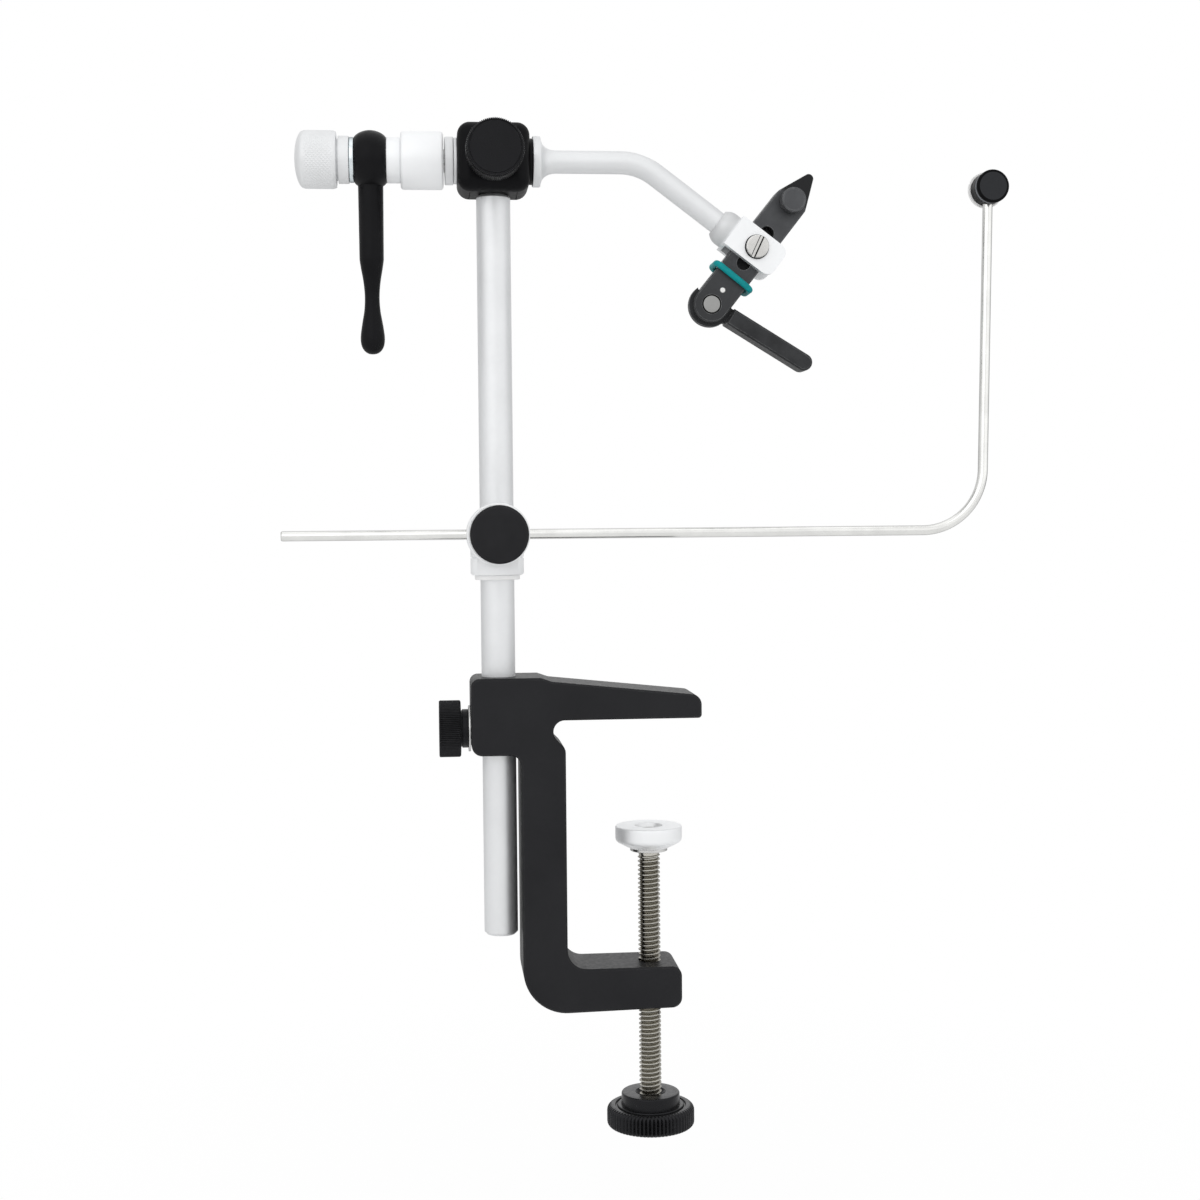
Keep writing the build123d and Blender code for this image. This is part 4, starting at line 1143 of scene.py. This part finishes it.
class VISE_OT_jaw_ring(Operator):
    """Make the rubber ring stretched round both jaws"""

    bl_idname = "vise.jaw_ring"
    bl_label = "Rubber ring"

    def execute(self, context):
        low, high = extent("jaw_ring")
        centre = (low + high) / 2
        along = jaw_way()
        up = Vector((-along.z, 0, along.x))
        tall = 6.0
        deep = 5.0
        bend = 1.5
        bow = 0.12
        spacing = 0.5
        corners = [((0, -deep), 0), ((-tall, -deep), bend), ((-tall, deep), bend),
                   ((tall, deep), bend), ((tall, -deep), bend), ((0, -deep), 0)]
        loop = softened(corners, 10)[:-1]
        spine = []
        for a, b in zip(loop, loop[1:] + loop[:1]):
            parts = max(1, round((b - a).length / spacing))
            for k in range(parts):
                p = a.lerp(b, k / parts)
                out = bow * (1 - (p.x / tall) ** 2) * (1 if p.y > 0 else -1)
                spine.append(centre + up * p.x + AWAY * (p.y + out))
        radii = [sizes().ring_thick / MM] * len(spine)
        band = swept("jaw_ring_rubber", spine, radii, along, 28, True)
        stand_for(band, "jaw_ring", rubber())
        return {"FINISHED"}


class VISE_OT_inner_fits(Operator):
    """Finish the screws and shoes that sit inside the other pieces"""

    bl_idname = "vise.inner_fits"
    bl_label = "Inner screws and shoes"

    def execute(self, context):
        for node, solid in frame["nodes"].items():
            if not solid.hide_render and not solid.modifiers:
                dress(node, FINISH_OF[SLOT_OF[node]]())
        return {"FINISHED"}


class VISE_OT_stage(Operator):
    """Set the white floor, the lamps, the surroundings and the camera"""

    bl_idname = "vise.stage"
    bl_label = "Studio"

    def floor(self):
        """Wide sheet under the vise, white to the camera, and painted darker behind the vise as
        painted shade.
        """
        shape = bmesh.new()
        bmesh.ops.create_grid(shape, x_segments=8, y_segments=8, size=3.0)
        under = CAD_BOX[0].z - sizes().floor_gap
        sheet = settled("studio_floor", shape, Matrix.Translation((0, 0, under)))
        paper = Finish("white_paper", (0.9, 0.9, 0.9), 0.9)
        place = paper.add("ShaderNodeNewGeometry").outputs["Position"]
        # Painted shade: the sheet's colour darkens behind the vise, dimming the shine and bounced
        # light from there
        painted_shade_behind = paper.add("ShaderNodeSeparateXYZ", {0: place}).outputs["Y"]
        paper.set(paper.shader, {"Base Color": paper.ranged(painted_shade_behind, 0.9, 0.6, 0.1, 0.6)})
        away = paper.add("ShaderNodeVectorMath", {0: place}, operation="LENGTH").outputs["Value"]
        seen = paper.add("ShaderNodeLightPath").outputs["Is Camera Ray"]
        white = paper.times(seen, paper.ranged(away, 0.92, 1, 0.02, 0.32))
        mix = paper.add("ShaderNodeMixShader", {0: white, 1: paper.shader.outputs[0],
                                                2: paper.add("ShaderNodeEmission").outputs[0]})
        paper.set(paper.tree.nodes["Material Output"], {0: mix.outputs[0]})
        painted(sheet, paper.material)

    def surroundings(self, scene):
        """White where the camera looks, and a soft studio for light and shine."""
        world = bpy.data.worlds.new("studio")
        scene.world = world
        world.use_nodes = True
        n = Nodes(world.node_tree)
        studio = n.tree.nodes["Background"]
        white = n.add("ShaderNodeBackground", {"Color": (1, 1, 1, 1)})
        where = n.add("ShaderNodeTexCoord").outputs["Generated"]
        parts = n.add("ShaderNodeSeparateXYZ", {0: where})
        ramp = n.add("ShaderNodeValToRGB", {0: n.ranged(parts.outputs["Y"], 0, 1, -1, 1)})
        stops = ((0.0, 0.96), (0.3, 0.93), (0.55, 0.75), (0.78, 0.6), (1.0, 0.5))
        while len(ramp.color_ramp.elements) < len(stops):
            ramp.color_ramp.elements.new(0.5)
        for element, (at, level) in zip(ramp.color_ramp.elements, stops):
            element.position = at
            element.color = (level, level, level, 1)
        n.set(studio, {"Color": ramp.outputs[0]})
        path = n.add("ShaderNodeLightPath").outputs
        backdrop = n.times(n.ranged(parts.outputs["Y"], 0, 1, 0.6, 0.92),
                           n.ranged(parts.outputs["Z"], 0, 1, 0.04, 0.3))
        shine = n.times(path["Is Glossy Ray"], backdrop)
        seen = n.larger(path["Is Camera Ray"], path["Is Transmission Ray"])
        mix = n.add("ShaderNodeMixShader", {0: n.larger(seen, shine), 1: studio.outputs[0],
                                            2: white.outputs[0]})
        n.set(n.tree.nodes["World Output"], {0: mix.outputs[0]})

    def lamp(self, scene, name, place, power, size):
        """A soft square lamp aimed at the vise."""
        aim = Vector((-0.02, 0, 0.03))
        data = bpy.data.lights.new(name, "AREA")
        data.energy = power
        data.size = size
        lamp = bpy.data.objects.new(name, data)
        lamp.location = place
        lamp.rotation_euler = (aim - Vector(place)).to_track_quat("-Z", "Y").to_euler()
        scene.collection.objects.link(lamp)

    def camera(self, scene):
        """Camera where the photographer stood."""
        data = bpy.data.cameras.new("photo_camera")
        data.sensor_width = 36
        data.lens = 54
        data.clip_start = 0.01
        place = Vector((-0.0625, -0.5078, 0.0562))
        right = Vector((0.99528, -0.09667, -0.00871))
        up = Vector((0.01303, 0.04419, 0.99894))
        turn = Matrix((right, up, right.cross(up))).transposed().to_4x4()
        eye = bpy.data.objects.new("photo_camera", data)
        eye.matrix_world = Matrix.Translation(place) @ turn
        scene.collection.objects.link(eye)
        scene.camera = eye

    def execute(self, context):
        scene = context.scene
        self.floor()
        self.surroundings(scene)
        self.lamp(scene, "key_lamp", (-0.45, -0.75, 0.55), 1.4, 1.0)
        self.lamp(scene, "fill_lamp", (0.65, -0.55, 0.25), 0.5, 1.0)
        self.lamp(scene, "top_lamp", (0.05, 0.1, 0.85), 0.65, 0.8)
        self.lamp(scene, "rear_lamp", (0.1, 0.8, 0.35), 0.6, 0.8)
        self.camera(scene)
        scene.view_settings.view_transform = "Standard"
        return {"FINISHED"}


PIECES = (VISE_OT_clamp_frame, VISE_OT_clamp_screw, VISE_OT_clamp_knob, VISE_OT_stem,
          VISE_OT_small_knobs, VISE_OT_bobbin_rest, VISE_OT_head, VISE_OT_spindle_stack,
          VISE_OT_crank, VISE_OT_swing_arm, VISE_OT_jaws, VISE_OT_jaw_ring, VISE_OT_inner_fits,
          VISE_OT_stage)


class VISE_PT_panel(Panel):
    """Sizes, colours and the buttons that make each group"""

    bl_idname = "VISE_PT_panel"
    bl_label = "Fly tying vise"
    bl_space_type = "VIEW_3D"
    bl_region_type = "UI"
    bl_category = "Vise"

    def draw(self, context):
        for group in (sizes(), finishes()):
            box = self.layout.box()
            for name in group.__annotations__:
                box.prop(group, name)
        for piece in PIECES:
            self.layout.operator(piece.bl_idname)


CLASSES = (VISE_PG_sizes, VISE_PG_finishes, *PIECES, VISE_PT_panel)


def register():
    """Make the classes and their settings known."""
    for item in CLASSES:
        bpy.utils.register_class(item)
    bpy.types.Scene.vise_sizes = PointerProperty(type=VISE_PG_sizes)
    bpy.types.Scene.vise_finishes = PointerProperty(type=VISE_PG_finishes)


def unregister():
    """Take the classes and their settings away."""
    del bpy.types.Scene.vise_finishes
    del bpy.types.Scene.vise_sizes
    for item in reversed(CLASSES):
        bpy.utils.unregister_class(item)


def main():
    """Make every group in order."""
    register()
    for piece in PIECES:
        group, action = piece.bl_idname.split(".")
        getattr(getattr(bpy.ops, group), action)()


if __name__ == "__main__":
    main()
